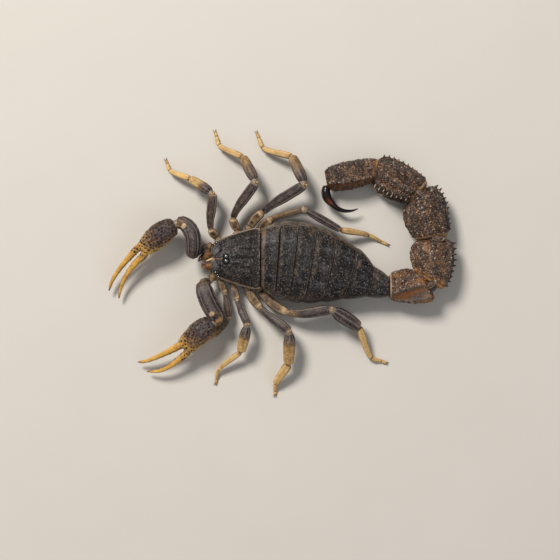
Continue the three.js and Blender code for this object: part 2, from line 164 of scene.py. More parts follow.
class Skin:
    def __init__(self):
        self.blocks = []

    def add(self, grid, **masks):
        self.blocks.append((np.asarray(grid, float), masks))

    def build(self, name, material, slot, *nodes):
        keys = sorted({key for _, masks in self.blocks for key in masks})
        side = math.ceil(math.sqrt(len(self.blocks)))
        points, values, faces, uvs, count = [], {key: [] for key in keys}, [], [], 0
        for k, (grid, masks) in enumerate(self.blocks):
            rows, cols = grid.shape[:2]
            corner = np.array([k % side, k // side]) / side
            r, s = np.meshgrid(np.arange(rows - 1), np.arange(cols), indexing="ij")
            n = (s + 1) % cols
            quads = np.stack([r * cols + s, r * cols + n, (r + 1) * cols + n, (r + 1) * cols + s], -1).reshape(-1, 4)
            place = lambda row, col: (np.stack([col / cols, row / (rows - 1)], -1) * 0.92 + 0.04) / side + corner
            quadUvs = np.stack([place(r, s), place(r, s + 1), place(r + 1, s + 1), place(r + 1, s)], 2)
            quadUvs = quadUvs.reshape(-1, 4, 2)
            # each end is closed by a fan round its middle point
            flat = np.vstack([grid.reshape(-1, 3), grid[0].mean(0), grid[-1].mean(0)])
            ring = np.arange(cols)
            after = (ring + 1) % cols
            base = (rows - 1) * cols
            first = np.stack([np.full(cols, rows * cols), after, ring], -1)
            last = np.stack([np.full(cols, rows * cols + 1), base + ring, base + after], -1)
            firstUvs = np.stack([place(ring * 0.0, ring + u) for u in (0, 1, 0)], 1)
            lastUvs = np.stack([place(ring * 0.0 + rows - 1, ring + u) for u in (0, 0, 1)], 1)
            # faces are turned over where they would look inwards
            volume = 0.0
            for group in (quads[:, :3], quads[:, [0, 2, 3]], first, last):
                volume += np.sum(flat[group[:, 0]] * np.cross(flat[group[:, 1]], flat[group[:, 2]]))
            for group, groupUvs in ((quads, quadUvs), (first, firstUvs), (last, lastUvs)):
                if volume < 0:
                    group, groupUvs = group[:, ::-1], groupUvs[:, ::-1]
                faces += (group + count).tolist()
                uvs.append(groupUvs.reshape(-1, 2))
            for key in keys:
                mask = np.broadcast_to(np.asarray(masks.get(key, 0.0), float), (rows, cols))
                values[key].append(np.r_[mask.reshape(-1), mask[0].mean(), mask[-1].mean()])
            points.append(flat)
            count += len(flat)
        mesh = bpy.data.meshes.new(name)
        mesh.from_pydata((np.vstack(points) * mm).tolist(), [], faces)
        for key in keys:
            writePoints(mesh, key, np.concatenate(values[key]))
        mesh.uv_layers.new(name="skinUv").data.foreach_set("uv", np.vstack(uvs).reshape(-1))
        mesh.polygons.foreach_set("use_smooth", np.ones(len(faces), bool))
        mesh.update()
        return place3d(name, mesh, material, slot, *nodes)


def place3d(name, mesh, material, slot, *nodes):
    if not mesh.materials:
        mesh.materials.append(material)
    piece = bpy.data.objects.new(name, mesh)
    bpy.context.scene.collection.objects.link(piece)
    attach(piece, "root")
    if nodes:
        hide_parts(*nodes)
    return piece


def limb(path, sizes, span=(0, 1), rings=26, sides=28, fullness=2.3, cap=(0.3, 0.3), keels=(), keelHigh=0.08,
         keelWide=10, hollow=0.0, rough=0.0, seed=0, flatFeet=False):
    # an oval tube on a smooth path with rounded ends and raised keels, and its share, angle and crest maps
    share = 0.5 - 0.5 * np.cos(np.linspace(0, np.pi, rings))
    whole = span[0] + share * (span[1] - span[0])
    places, tangents, length = smoothPath(path, whole)
    across, up = acrossAndUp(tangents)
    half, high = ease(sizes, whole).T
    run = share * length * (span[1] - span[0])
    rest = run[-1] - run
    for distance, reach in ((run, cap[0]), (rest, cap[1])):
        if reach:
            rounding = np.sqrt(1 - np.clip(1 - distance / reach, 0, 0.985) ** 2)
            half, high = half * rounding, high * rounding
    angle = np.arange(sides) / sides * 360
    c, s = np.cos(np.radians(angle)), np.sin(np.radians(angle))
    ridge, shoulder = np.zeros(sides), np.zeros(sides)
    for keel in keels:
        turn = wrapped(angle - keel)
        ridge = np.maximum(ridge, bell(turn, keelWide))
        shoulder = np.maximum(shoulder, bell(turn, keelWide * 2.4))
    push = keelHigh * ridge - hollow * (1 - shoulder)
    wide = half[:, None] * power(c, 2 / fullness) + (half / half.max())[:, None] * push * c
    tall = high[:, None] * power(s, 2 / fullness) + (high / high.max())[:, None] * push * s
    grid = places[:, None] + wide[..., None] * across[:, None] + tall[..., None] * up[:, None]
    if rough:
        grit = rough * lumps(grid, 0.55, seed) + rough * 0.5 * lumps(grid, 0.27, seed + 7)
        grid = grid + unit(grid - places[:, None]) * grit[..., None]
    if flatFeet:
        grid[..., 2] = np.maximum(grid[..., 2], 0)
    whole = np.ones((rings, sides))
    return grid, share[:, None] * whole, angle * whole, ridge * whole


# ---- finishes
class Wire:
    # a socket that adds, multiplies and mixes, and makes any other node in its tree
    def __init__(self, tree, socket=None):
        self.tree, self.socket = tree, socket

    def node(self, kind, settings=None, sockets=None, out=0):
        made = self.tree.nodes.new(kind)
        for key, value in (settings or {}).items():
            if key == "stops":
                elements = made.color_ramp.elements
                elements[0].position, elements[-1].position = value[0][0], value[-1][0]
                for at, _ in value[1:-1]:
                    elements.new(at)
                for element, (_, colour) in zip(elements, value):
                    element.color = (*colour, 1)
            else:
                setattr(made, key, value)
        for key, value in (sockets or {}).items():
            if isinstance(value, Wire):
                self.tree.links.new(value.socket, made.inputs[key])
            else:
                made.inputs[key].default_value = value
        return Wire(self.tree, made.outputs[out] if len(made.outputs) else None)

    def maths(self, kind, a, b=0.0, clamp=False):
        return self.node("ShaderNodeMath", {"operation": kind, "use_clamp": clamp}, {0: a, 1: b})

    def __add__(self, other): return self.maths("ADD", self, other)
    def __radd__(self, other): return self.maths("ADD", other, self)
    def __sub__(self, other): return self.maths("SUBTRACT", self, other)
    def __rsub__(self, other): return self.maths("SUBTRACT", other, self)
    def __mul__(self, other): return self.maths("MULTIPLY", self, other)
    def __rmul__(self, other): return self.maths("MULTIPLY", other, self)

    def clamp(self):
        return self.maths("ADD", self, 0.0, True)

    def mix(self, amount, first, second):
        colour = lambda v: v if isinstance(v, Wire) else (*v, 1)
        return self.node("ShaderNodeMix", {"data_type": "RGBA"}, {0: amount, 6: colour(first), 7: colour(second)}, 2)

    def band(self, value, low, high):
        # 0 below low, 1 above high, smooth between
        return self.node("ShaderNodeMapRange", {"interpolation_type": "SMOOTHSTEP"},
                         {"Value": value, "From Min": low, "From Max": high})

    def ramp(self, value, stops):
        return self.node("ShaderNodeValToRGB", {"stops": stops}, {"Fac": value})

    def mask(self, name):
        return self.node("ShaderNodeAttribute", {"attribute_name": name}, None, "Fac")

    def cloud(self, place, size, detail=3, rough=0.6):
        return self.node("ShaderNodeTexNoise", None,
                         {"Vector": place, "Scale": 1 / (size * mm), "Detail": detail, "Roughness": rough})

    def cells(self, place, size):
        return self.node("ShaderNodeTexVoronoi", None, {"Vector": place, "Scale": 1 / (size * mm)}, "Distance")


def newFinish(name):
    material = bpy.data.materials.new(name)
    material.use_nodes = True
    material.node_tree.nodes.clear()
    wire = Wire(material.node_tree)
    return material, wire, wire.node("ShaderNodeTexCoord", None, None, "Object")


def close(wire, colour, roughness, height, depth=0.05, strength=0.7, **fixed):
    bump = wire.node("ShaderNodeBump", None, {"Strength": strength, "Distance": depth * mm, "Height": height})
    sockets = {"Base Color": colour, "Roughness": roughness, "Normal": bump}
    sockets.update({key.replace("_", " "): value for key, value in fixed.items()})
    shader = wire.node("ShaderNodeBsdfPrincipled", None, sockets)
    wire.node("ShaderNodeOutputMaterial", None, {"Surface": shader})


def shellFinish(name, look):
    # hard cuticle: tone runs through the stops, and masks add rims, creases, keels with a painted sheen, glaze, tips
    # and dots; pale specks are painted glints
    material, wire, place = newFinish(name)
    broad, fine = wire.cloud(place, look["patch"]), wire.cloud(place, 0.5, 4, 0.75)
    pits = wire.cells(place, look["grainSize"])
    tone = (wire.mask("tone") + (broad - 0.5) * look["mottle"] + (fine - 0.5) * look["mottle"] * 0.8).clamp()
    colour = wire.ramp(tone, look["stops"])
    keel = wire.mask("keel")
    # the keel colour paints pale keels and also a painted sheen
    colour = wire.mix(keel * look["keelAndSheenShare"], colour, look["keel"])
    # keels, the painted sheen and amber parts are smoother than the rest
    rugged = (1 - keel * 0.75) * (1 - wire.band(tone, 0.55, 0.8) * 0.65)
    glaze = wire.mask("glaze")
    colour = wire.mix((glaze * (0.75 + fine * 0.5)).clamp(), colour,
                      wire.mix(broad, look["glaze"][0], look["glaze"][1]))
    colour = wire.mix(wire.mask("tip"), colour, look["tip"])
    spots = wire.mask("spots")
    dots = wire.cells(place, look["dotSize"])
    dotShare = wire.band(dots, look["dotEdge"] + 0.1, look["dotEdge"] - 0.1) * spots
    colour = wire.mix(dotShare, colour, look["dot"])
    # pale specks painted into the colour as glints
    glintSpecks = wire.band(wire.cloud(place, 0.4, 2, 0.6), look["glintSpeckFrom"], look["glintSpeckFrom"] + 0.08)
    colour = wire.mix((glintSpecks * (1 - glaze) * rugged * look["glintSpeckShare"]).clamp(), colour, look["glintSpeck"])
    colour = wire.mix(wire.band(pits, 0.4, 0.62) * (1 - glaze) * rugged * look["gapShare"], colour, look["crease"])
    colour = wire.mix(wire.mask("crease"), colour, look["crease"])
    colour = wire.mix((wire.mask("rim") * (0.55 + fine * 0.9)).clamp(), colour, look["rim"])
    rough = (look["rough"] + (fine - 0.5) * 0.25 - glaze * 0.08).clamp()
    height = fine * 0.6 + (1 - glaze) * pits * look["pit"] + wire.cloud(place, 0.12, 2) * 0.25
    close(wire, colour, rough, height, look["depth"], Specular_IOR_Level=look["gloss"])
    return material


slate = {
    "stops": [(0.0, (0.004, 0.0035, 0.004)), (0.35, (0.019, 0.0155, 0.0145)), (0.6, (0.054, 0.036, 0.027)),
              (1.0, (0.14, 0.085, 0.05))],
    # keel is the colour of pale keels and of the painted blue grey sheen
    "keel": (0.115, 0.112, 0.12), "keelAndSheenShare": 0.75, "gapShare": 0.7,
    "glaze": ((0.12, 0.045, 0.015), (0.2, 0.08, 0.02)), "tip": (0.1, 0.03, 0.01), "dot": (0.01, 0.009, 0.01),
    "dotSize": 0.9, "dotEdge": 0.3, "glintSpeck": (0.23, 0.205, 0.19), "glintSpeckShare": 0.65, "glintSpeckFrom": 0.57,
    "crease": (0.005, 0.0045, 0.005), "rim": (0.42, 0.30, 0.20), "rough": 0.40, "mottle": 1.3, "patch": 1.6,
    "grainSize": 0.45, "pit": 0.5, "depth": 0.08, "gloss": 0.14,
}
tailLook = dict(
    slate, keel=(0.17, 0.135, 0.125), keelAndSheenShare=0.6, glaze=((0.27, 0.105, 0.03), (0.13, 0.05, 0.02)),
    rim=(0.60, 0.46, 0.34),
    rough=0.55, mottle=1.05, depth=0.1, glintSpeck=(0.33, 0.24, 0.19), glintSpeckShare=0.55, grainSize=0.5,
    stops=[(0.0, (0.014, 0.010, 0.009)), (0.3, (0.075, 0.040, 0.024)), (0.6, (0.19, 0.100, 0.055)),
           (1.0, (0.45, 0.20, 0.055))])
limbLook = dict(
    slate, keel=(0.192, 0.172, 0.180), gapShare=0.4, tip=(0.13, 0.04, 0.015), rim=(0.60, 0.42, 0.24), rough=0.45,
    mottle=0.8,
    dot=(0.018, 0.012, 0.014), dotSize=0.42, dotEdge=0.28, glintSpeck=(0.28, 0.215, 0.18), glintSpeckShare=0.4, depth=0.05,
    gloss=0.18,
    stops=[(0.0, (0.012, 0.008, 0.0075)), (0.22, (0.060, 0.037, 0.030)), (0.5, (0.19, 0.115, 0.05)),
           (0.75, (0.38, 0.235, 0.095)), (1.0, (0.60, 0.40, 0.16))])
handLook = dict(
    limbLook, keel=(0.155, 0.140, 0.152), mottle=0.75, dotSize=0.5, dotEdge=0.12, gloss=0.14,
    stops=[(0.0, (0.018, 0.010, 0.009)), (0.25, (0.066, 0.036, 0.028)), (0.5, (0.20, 0.115, 0.05)),
           (0.75, (0.46, 0.25, 0.055)), (1.0, (0.66, 0.38, 0.085))])

finishes = {
    "slate": shellFinish("slateCuticle", slate),
    "tail": shellFinish("tailCuticle", tailLook),
    "limb": shellFinish("legCuticle", limbLook),
    "hand": shellFinish("pincerCuticle", handLook),
}
softLook = {
    "stops": [(0.0, (0.014, 0.011, 0.010)), (0.35, (0.046, 0.038, 0.033)), (0.6, (0.15, 0.122, 0.102)),
              (0.8, (0.22, 0.125, 0.05)), (1.0, (0.33, 0.15, 0.04))],
    "crease": (0.05, 0.03, 0.02), "rough": 0.45, "folds": 0.8, "depth": 0.08,
}
stingLook = {
    "stops": [(0.0, (0.006, 0.0045, 0.005)), (0.5, (0.013, 0.0055, 0.004)), (1.0, (0.085, 0.021, 0.008))],
    "rough": 0.2, "coat": 0.18, "gloss": 0.25,
}
eyeLook = {"dark": (0.002, 0.002, 0.003), "pale": (0.010, 0.008, 0.009), "rough": 0.12, "coatIor": 2.2}


def membraneFinish():
    material, wire, place = newFinish("membrane")
    folds, fine = wire.cloud(place, softLook["folds"], 4), wire.cloud(place, 0.18, 3)
    tone = (wire.mask("tone") + (folds - 0.5) * 0.5).clamp()
    colour = wire.mix(wire.mask("crease"), wire.ramp(tone, softLook["stops"]), softLook["crease"])
    close(wire, colour, softLook["rough"] + (fine - 0.5) * 0.2, folds + fine * 0.4, softLook["depth"])
    return material


def stingFinish():
    material, wire, place = newFinish("stingGloss")
    broad, fine = wire.cloud(place, 1.4), wire.cloud(place, 0.25, 3)
    colour = wire.ramp((wire.mask("tone") + (broad - 0.5) * 0.3).clamp(), stingLook["stops"])
    close(wire, colour, stingLook["rough"] + fine * 0.12, fine * 0.5 + broad, 0.03, 0.4,
          Coat_Weight=stingLook["coat"], Coat_Roughness=0.1, Specular_IOR_Level=stingLook["gloss"])
    return material


def eyeFinish():
    material, wire, place = newFinish("eyeLens")
    shade = wire.cloud(place, 0.5)
    colour = wire.mix(shade, eyeLook["dark"], eyeLook["pale"])
    close(wire, colour, eyeLook["rough"] + shade * 0.05, shade, 0.005, 0.2,
          Coat_Weight=1.0, Coat_Roughness=0.12, Coat_IOR=eyeLook["coatIor"], Specular_IOR_Level=1.0)
    return material


finishes.update(membrane=membraneFinish(), sting=stingFinish(), eye=eyeFinish())
print("finishes made")

# ---- head shield
head = {
    "midline": -0.95, "rim": 5.3, "floorMiddle": 4.3, "floorEdge": 4.8, "rings": 110, "across": 120, "under": 16,
    "stations": [[-17.35, 3.0, 6.7], [-16.6, 4.0, 7.2], [-14.8, 5.0, 8.0], [-12.0, 6.1, 8.6], [-9.0, 7.0, 8.9],
                 [-6.4, 7.6, 9.0], [-5.0, 7.5, 8.8]],
    "notchDepth": 1.1, "notchHalf": 0.75, "eyeY": -13.4, "eyeHill": 0.45, "eyeHillHalf": 1.25, "eyeApart": 1.14,
    "eyeRadius": 0.54, "eyeZ": 8.75, "furrow": 0.34, "lobes": 0.28, "wrinkle": 0.045, "grain": 0.05,
}


def lineBell(x, y, a, b, width):
    # a soft line between two points of the shield's plan
    ax, ay, bx, by = *a, *b
    t = np.clip(((x - ax) * (bx - ax) + (y - ay) * (by - ay)) / ((bx - ax) ** 2 + (by - ay) ** 2), 0, 1)
    return bell(np.hypot(x - ax - t * (bx - ax), y - ay - t * (by - ay)), width)


def headCrown(off, y, half, top):
    # crown height over the plan, with its furrows and keels, and the masks for creases and keels
    rise = 1 - np.abs(off / half) ** 2.3
    z = head["rim"] + (top - head["rim"]) * rise
    z = z + head["eyeHill"] * bell(np.hypot(y - head["eyeY"], off), head["eyeHillHalf"])
    a = np.abs(off)
    ahead = ramp(y, -13.9, -15.2)
    furrow = bell(off, 0.22 + 0.1 * ramp(y, -16, -17.3)) * ahead
    lobe = bell(np.hypot((a - 1.75) / 1.25, (y + 16.15) / 0.95), 1) * head["lobes"]
    cut = lineBell(a, y, (0.75, -16.0), (1.9, -14.9), 0.2) + 0.7 * lineBell(a, y, (1.9, -14.9), (3.6, -14.6), 0.28)
    median = bell(off, 0.3) * ramp(y, -12.6, -11.8) * ramp(y, -6.8, -7.6)
    keelPair = lineBell(a, y, (0.65, -12.4), (0.95, -10.6), 0.22) + lineBell(a, y, (0.95, -10.6), (1.75, -8.0), 0.26)
    outerKeel = lineBell(a, y, (1.3, -12.9), (3.0, -10.9), 0.26) + lineBell(a, y, (3.0, -10.9), (3.3, -8.2), 0.3)
    sideKeel = lineBell(a, y, (2.4, -14.4), (4.6, -11.6), 0.3) * 0.8
    slot = lineBell(a, y, (2.35, -9.9), (2.25, -7.5), 0.2) + 0.6 * lineBell(a, y, (1.25, -10.8), (1.35, -9.0), 0.16)
    rearFurrow = bell(y + 7.3 - 0.25 * (a / 7) ** 2, 0.26) * ramp(half - a, 0.3, 0.9)
    rearFurrow = rearFurrow * (0.35 + 0.65 * ramp(a, 1.2, 2.6))
    rearLip = bell(y + 5.55, 0.3)
    bead = bell(half - a - 0.18, 0.2) * 0.16 - bell(half - a - 0.62, 0.24) * 0.14
    z = z + lobe + 0.14 * keelPair + 0.12 * outerKeel + 0.1 * sideKeel + 0.08 * rearLip
    z = z - head["furrow"] * furrow - 0.2 * cut - 0.2 * median - 0.22 * slot - 0.2 * rearFurrow
    z = z + bead * ramp(y, -17.0, -15.8)
    crease = np.clip(0.75 * cut + 0.6 * median + 0.9 * slot + 0.65 * rearFurrow + 0.35 * bell(half - a - 0.62, 0.2),
                     0, 1)
    keel = np.clip(0.8 * keelPair + 0.7 * outerKeel + 0.6 * sideKeel + 2.2 * lobe + 0.5 * rearLip, 0, 1)
    return z, crease, keel, furrow


def makeHead():
    t = np.linspace(0, 1, head["rings"])
    t = t - 0.018 * np.sin(2 * np.pi * t)
    grid, masks = [], {}
    sides, under = head["across"], head["under"]
    for share, (y, half, top) in zip(t, spline(head["stations"], t)):
        off = -half * np.cos(np.linspace(0, np.pi, sides + 1))
        front = max(0.0, 1 - share * 4)
        notch = head["notchDepth"] * front * bell(off, head["notchHalf"]) + 0.35 * front * np.abs(off / half) ** 4
        along = y + notch
        z, crease, keel, furrow = headCrown(off, along, half, top)
        fade = np.sqrt(1 - np.clip(1 - (y - head["stations"][0][0]) / 0.45, 0, 0.98) ** 2)
        fade = fade * np.sqrt(1 - np.clip(1 - (head["stations"][-1][0] - y) / 0.14, 0, 0.9) ** 2)
        # wrinkles that run back and out from the eyes
        away = np.hypot(off, along - head["eyeY"] - 1.0)
        turn = np.arctan2(off, along - head["eyeY"] + 6.0)
        coil = np.stack([turn * 9, away * 0.42, off * 0 + 3], -1)
        wrinkle = lumps(coil, 1.0, 3) + 0.6 * lumps(coil * 2.1, 1.0, 5)
        plan = np.stack([off, along, off * 0], -1)
        grit = lumps(plan, 0.42, 11) + 0.7 * lumps(plan, 0.21, 13)
        inner = ramp(half - np.abs(off), 0.2, 1.0)
        calm = 1 - 0.75 * bell(np.hypot((np.abs(off) - 1.75) / 1.2, (along + 16.15) / 0.9), 1)
        z = z + inner * calm * (head["wrinkle"] * wrinkle + head["grain"] * grit)
        low = head["rim"] - 0.35
        z = low + (z - low) * fade
        back = half * np.cos(np.arange(1, under) / under * np.pi) * 0.97
        floor = head["floorMiddle"] + (head["floorEdge"] - head["floorMiddle"]) * (back / half) ** 2
        floor = low + (floor - low) * fade
        grid.append(np.vstack([np.stack([head["midline"] + off, along, z], -1),
                               np.stack([head["midline"] + back, y + back * 0, floor], -1)]))
        edge = bell(half - np.abs(off) - 0.06, 0.14)
        rearRim = bell(along + 5.22, 0.16)
        frontRim = bell(along - notch + 17.3, 0.16) * 0.6
        narrow = 0.55 * bell(off, 0.12 + 0.12 * ramp(along, -15.6, -17.0)) * ramp(along, -14.1, -14.8)
        sideRim = edge * ramp(along, -16.9, -15.4) * (0.75 + 0.25 * (off > 0))
        rim = np.clip(sideRim + 0.6 * rearRim + frontRim + 0.8 * narrow, 0, 1)
        socket = np.hypot(np.abs(off) - head["eyeApart"] / 2, along - head["eyeY"])
        tone = 0.26 + 0.14 * (1 - inner) + 0.16 * lumps(plan, 2.2, 21) + 0.20 * ramp(off, 0, half) + 0.3 * (1 - calm)
        crease = np.clip(crease + 1.3 * bell(socket - 0.72, 0.2), 0, 1)
        keel = np.clip(keel + 0.8 * bell(socket - 1.2, 0.25) + 1.1 * (1 - calm), 0, 1)
        grain = inner * calm ** 2 * (1 - 0.8 * furrow)
        grain = grain * ramp(socket, 0.95, 1.2) * (0.75 + 0.25 * ramp(along, -15, -12))
        row = {"tone": tone, "rim": rim, "crease": crease * (1 - rim), "grain": grain,
               "keel": np.clip(keel + 0.35 * np.clip(wrinkle, 0, 1), 0, 1),
               "coarse": np.clip(keel + 0.3 * ramp(along, -8, -6), 0, 1)}
        for key, value in row.items():
            masks.setdefault(key, []).append(np.r_[value, np.full(under - 1, 0.6 if key == "tone" else 0.0)])
    skin = Skin()
    skin.add(np.array(grid), **{key: np.array(value) for key, value in masks.items()})
    return skin.build("headShield", finishes["slate"], "back", "carapace")


headShield = makeHead()


def ballGrid(centre, radii, rows, cols, facing=(0, 0, 1), start=(0.31, 0.94, 0.11)):
    # a closed oval ball whose pole looks along facing, with its maps of angles from the pole and round it
    pole = unit(np.array(facing, float))
    side = unit(np.cross(pole, start))
    other = np.cross(pole, side)
    lat = np.linspace(0.02, np.pi - 0.02, rows)[:, None]
    lon = np.arange(cols) / cols * 2 * np.pi
    x, y = np.sin(lat) * np.cos(lon) * radii[0], np.sin(lat) * np.sin(lon) * radii[1]
    z = np.cos(lat) * radii[2]
    grid = np.array(centre) + x[..., None] * side + y[..., None] * other + z[..., None] * pole
    return grid, lat * np.ones(cols), lon * np.ones((rows, 1))


def headHeight(off, y):
    dense = spline(head["stations"], np.linspace(0, 1, 400))
    half, top = np.interp(y, dense[:, 0], dense[:, 1]), np.interp(y, dense[:, 0], dense[:, 2])
    return float(headCrown(np.array(off), np.array(y), half, top)[0])


eyes = {"side": [(3.45, -16.25, 0.24), (3.95, -15.85, 0.22), (4.3, -15.35, 0.19)], "collar": 0.16}


def makeEyes():
    collars = Skin()
    for name, side in (("Left", 1), ("Right", -1)):
        centre = (head["midline"] + side * head["eyeApart"] / 2, head["eyeY"], head["eyeZ"])
        skin = Skin()
        skin.add(ballGrid(centre, [head["eyeRadius"]] * 3, 24, 32, (side * 0.5, 0, 1))[0])
        skin.build("medianEye" + name, finishes["eye"], "eye", "eye_" + name.lower())
        # a raised brow and a low collar round each lens
        turn = np.linspace(0, 2 * np.pi, 37)[:-1, None]
        tube = np.arange(10) / 10 * 2 * np.pi
        reach = head["eyeRadius"] + 0.02 + eyes["collar"] * 0.5 * np.cos(tube)
        z = centre[2] - 0.11 + eyes["collar"] * 0.8 * np.sin(tube) + 0.12 * np.abs(np.cos(turn))
        grid = np.stack([centre[0] + reach * np.cos(turn), centre[1] + reach * np.sin(turn) * 1.05, z], -1)
        collars.add(np.concatenate([grid, grid[:1]]), tone=0.05)
        for n, (off, along, radius) in enumerate(eyes["side"]):
            skin = Skin()
            place = (head["midline"] + side * off, along, headHeight(off, along) + radius * 0.25)
            skin.add(ballGrid(place, [radius] * 3, 12, 16)[0])
            skin.build(f"sideEye{name}{n + 1}", finishes["eye"], "eye")
    collars.build("eyeCollars", finishes["slate"], "back")


makeEyes()
print("head shield and eyes made")

# ---- jaws: a body with a fixed and a moving finger on each side
jaws = {
    "Right": [[-2.35, -17.6, 5.0], [-1.85, -18.5, 5.2], [-1.1, -19.5, 5.1], [-0.3, -20.35, 4.9]],
    "Left": [[1.0, -17.5, 5.0], [0.95, -18.2, 5.1], [0.75, -18.95, 5.0], [0.5, -19.5, 4.85]],
    "lip": [[-0.95, -16.9, 5.0], [-0.62, -17.8, 5.2], [-0.3, -18.6, 5.15]],
    "sizes": [[0, 0.75, 0.6], [0.35, 1.0, 0.8], [0.6, 0.95, 0.75], [0.82, 0.5, 0.45]],
    "fingerSizes": [[0, 0.3, 0.32], [0.5, 0.22, 0.26], [1, 0.07, 0.08]],
    "lipSizes": [[0, 0.3, 0.3], [0.6, 0.24, 0.22], [1, 0.1, 0.1]],
}


def makeJaws():
    for name, side in (("Left", 1), ("Right", -1)):
        path = jaws[name]
        full = [np.array(path[0]) + [0, 1.5, 0.1]] + path
        grid, share, angle, _ = limb(full, jaws["sizes"], (0, 0.82), 34, 34, cap=(0.3, 0.6), rough=0.03)
        blotch = ramp(lumps(grid, 0.7, 15), 0.0, 0.5)
        bright, dark = (125, 60) if side < 0 else (60, 115)
        crease = 0.5 * ramp(share, 0.35, 0.1) + 0.7 * bell(angle - dark, 16) + 0.4 * blotch
        skin = Skin()
        skin.add(grid, tone=0.5 - 0.22 * blotch, glaze=0.7 * (1 - 0.7 * bell(angle - bright, 22)),
                 tip=0.6 * ramp(share, 0.4, 0.9), crease=np.clip(crease, 0, 1), grain=0.3)
        if side > 0:
            lip = limb(jaws["lip"], jaws["lipSizes"], rings=18, sides=16, cap=(0.15, 0.1))[0]
            skin.add(lip, tone=0.9, rim=0.8)
        tip, last = np.array(path[3]), np.array(path[2])
        for sign, reach in ((-side, 0.9), (side, 1.05)):
            root = last + [sign * 0.34, 0.35, 0.08]
            end = tip + [sign * 0.10, -0.25 * reach, -0.15]
            finger = [root, last + [sign * 0.42, -0.35, 0.04], end]
            grid, share, _, _ = limb(finger, jaws["fingerSizes"], rings=18, sides=14, cap=(0.2, 0.12))
            skin.add(grid, tone=0.4, glaze=0.7, tip=ramp(share, 0.3, 0.9))
            for n in range(3):
                at = root + (end - root) * (0.35 + 0.2 * n)
                tooth = [at, at + np.array([-sign * 0.3, -0.06, -0.02])]
                grid = limb(tooth, [[0, 0.11, 0.12], [1, 0.03, 0.03]], rings=7, sides=8, cap=(0.05, 0.04))[0]
                skin.add(grid, tone=0.3, tip=0.9)
        skin.build("jaw" + name, finishes["limb"], "ochre", "chelicera_" + name.lower())


makeJaws()

# ---- trunk: back plates and belly plates over one soft skin
trunk = {
    "line": [[-0.9, -4.9, 0], [-0.7, -0.5, 4.5], [-0.15, 3.9, 8], [0.7, 8.4, 10.5], [1.75, 13.25, 12.5],
             [3.05, 18.4, 14.5], [4.85, 22.7, 13.5], [6.05, 26.7, 4]],
    "size": [[7.5, 9.1, 2.6], [9.55, 9.6, 2.3], [10.05, 9.9, 1.5], [9.6, 9.9, 1.1], [8.3, 9.6, 1.1], [6.4, 9.1, 1.3],
             [3.95, 8.5, 1.5], [2.75, 7.9, 1.7]],
    "shift": [[0, 0], [0.143, 0.014], [0.286, 0.028], [0.429, 0.037], [0.571, 0.037], [0.714, 0.035], [0.857, 0.024],
              [1, 0]],
    "flank": 0.47, "plateReach": 0.915, "thick": 0.3, "rows": 46, "across": 84, "plateLong": 4.6, "bow": 0.34,
    "lift": [[0, -0.36], [0.05, -0.08], [0.12, 0.13], [0.3, 0.12], [0.6, 0.0], [0.84, 0.06], [0.95, 0.09],
             [1, -0.04]],
    "darker": [0, 0.03, 0.02, 0.06, 0.11, 0.11, 0.02], "grain": [0.6, 0.6, 0.5, 0.4, 0.35, 0.5, 1.0], "bellyEdge": 30,
    "bellyLift": [[0, -0.3], [0.08, -0.05], [0.2, 0.08], [0.8, 0.04], [0.94, 0.08], [1, -0.04]],
}


def trunkPlace(t, angle, lift=0.0):
    # t runs from the head to the tail, angle goes round, and lift pushes out in millimetres
    shape = np.broadcast(t, angle).shape
    flat = np.broadcast_to(t, shape).reshape(-1)
    flat = flat - ease(trunk["shift"], flat)[:, 0]
    line, size = spline(trunk["line"], flat), spline(trunk["size"], flat)
    turn = np.radians(line[:, 2])
    across = np.stack([np.cos(turn), -np.sin(turn), 0 * turn], -1).reshape(*shape, 3)
    half, top, bottom = (size[:, i].reshape(shape) for i in range(3))
    centre = np.stack([line[:, 0], line[:, 1], 0 * turn], -1).reshape(*shape, 3)
    flank = bottom + (top - bottom) * trunk["flank"]
    c, v = np.cos(np.radians(angle)), np.sin(np.radians(angle))
    above = v > 0
    reach = np.where(above, top - flank, flank - bottom)
    bend = np.where(above, 0.8, 0.95)
    wide = power(c, bend) * (half + lift * np.abs(c))
    tall = power(v, bend) * (reach + lift * np.abs(v))
    place = centre + wide[..., None] * across
    place[..., 2] = flank + tall
    return place


def buildPlate(name, slot, top, bottom, **masks):
    # a plate between its outer and inner face; the masks lie on the outer one
    inner = np.zeros(bottom.shape[:2])
    for key, value in masks.items():
        masks[key] = np.concatenate([np.broadcast_to(value, top.shape[:2]), inner], 1)
    skin = Skin()
    skin.add(np.concatenate([top, bottom], 1), **masks)
    return skin.build(name, finishes["slate"], slot)


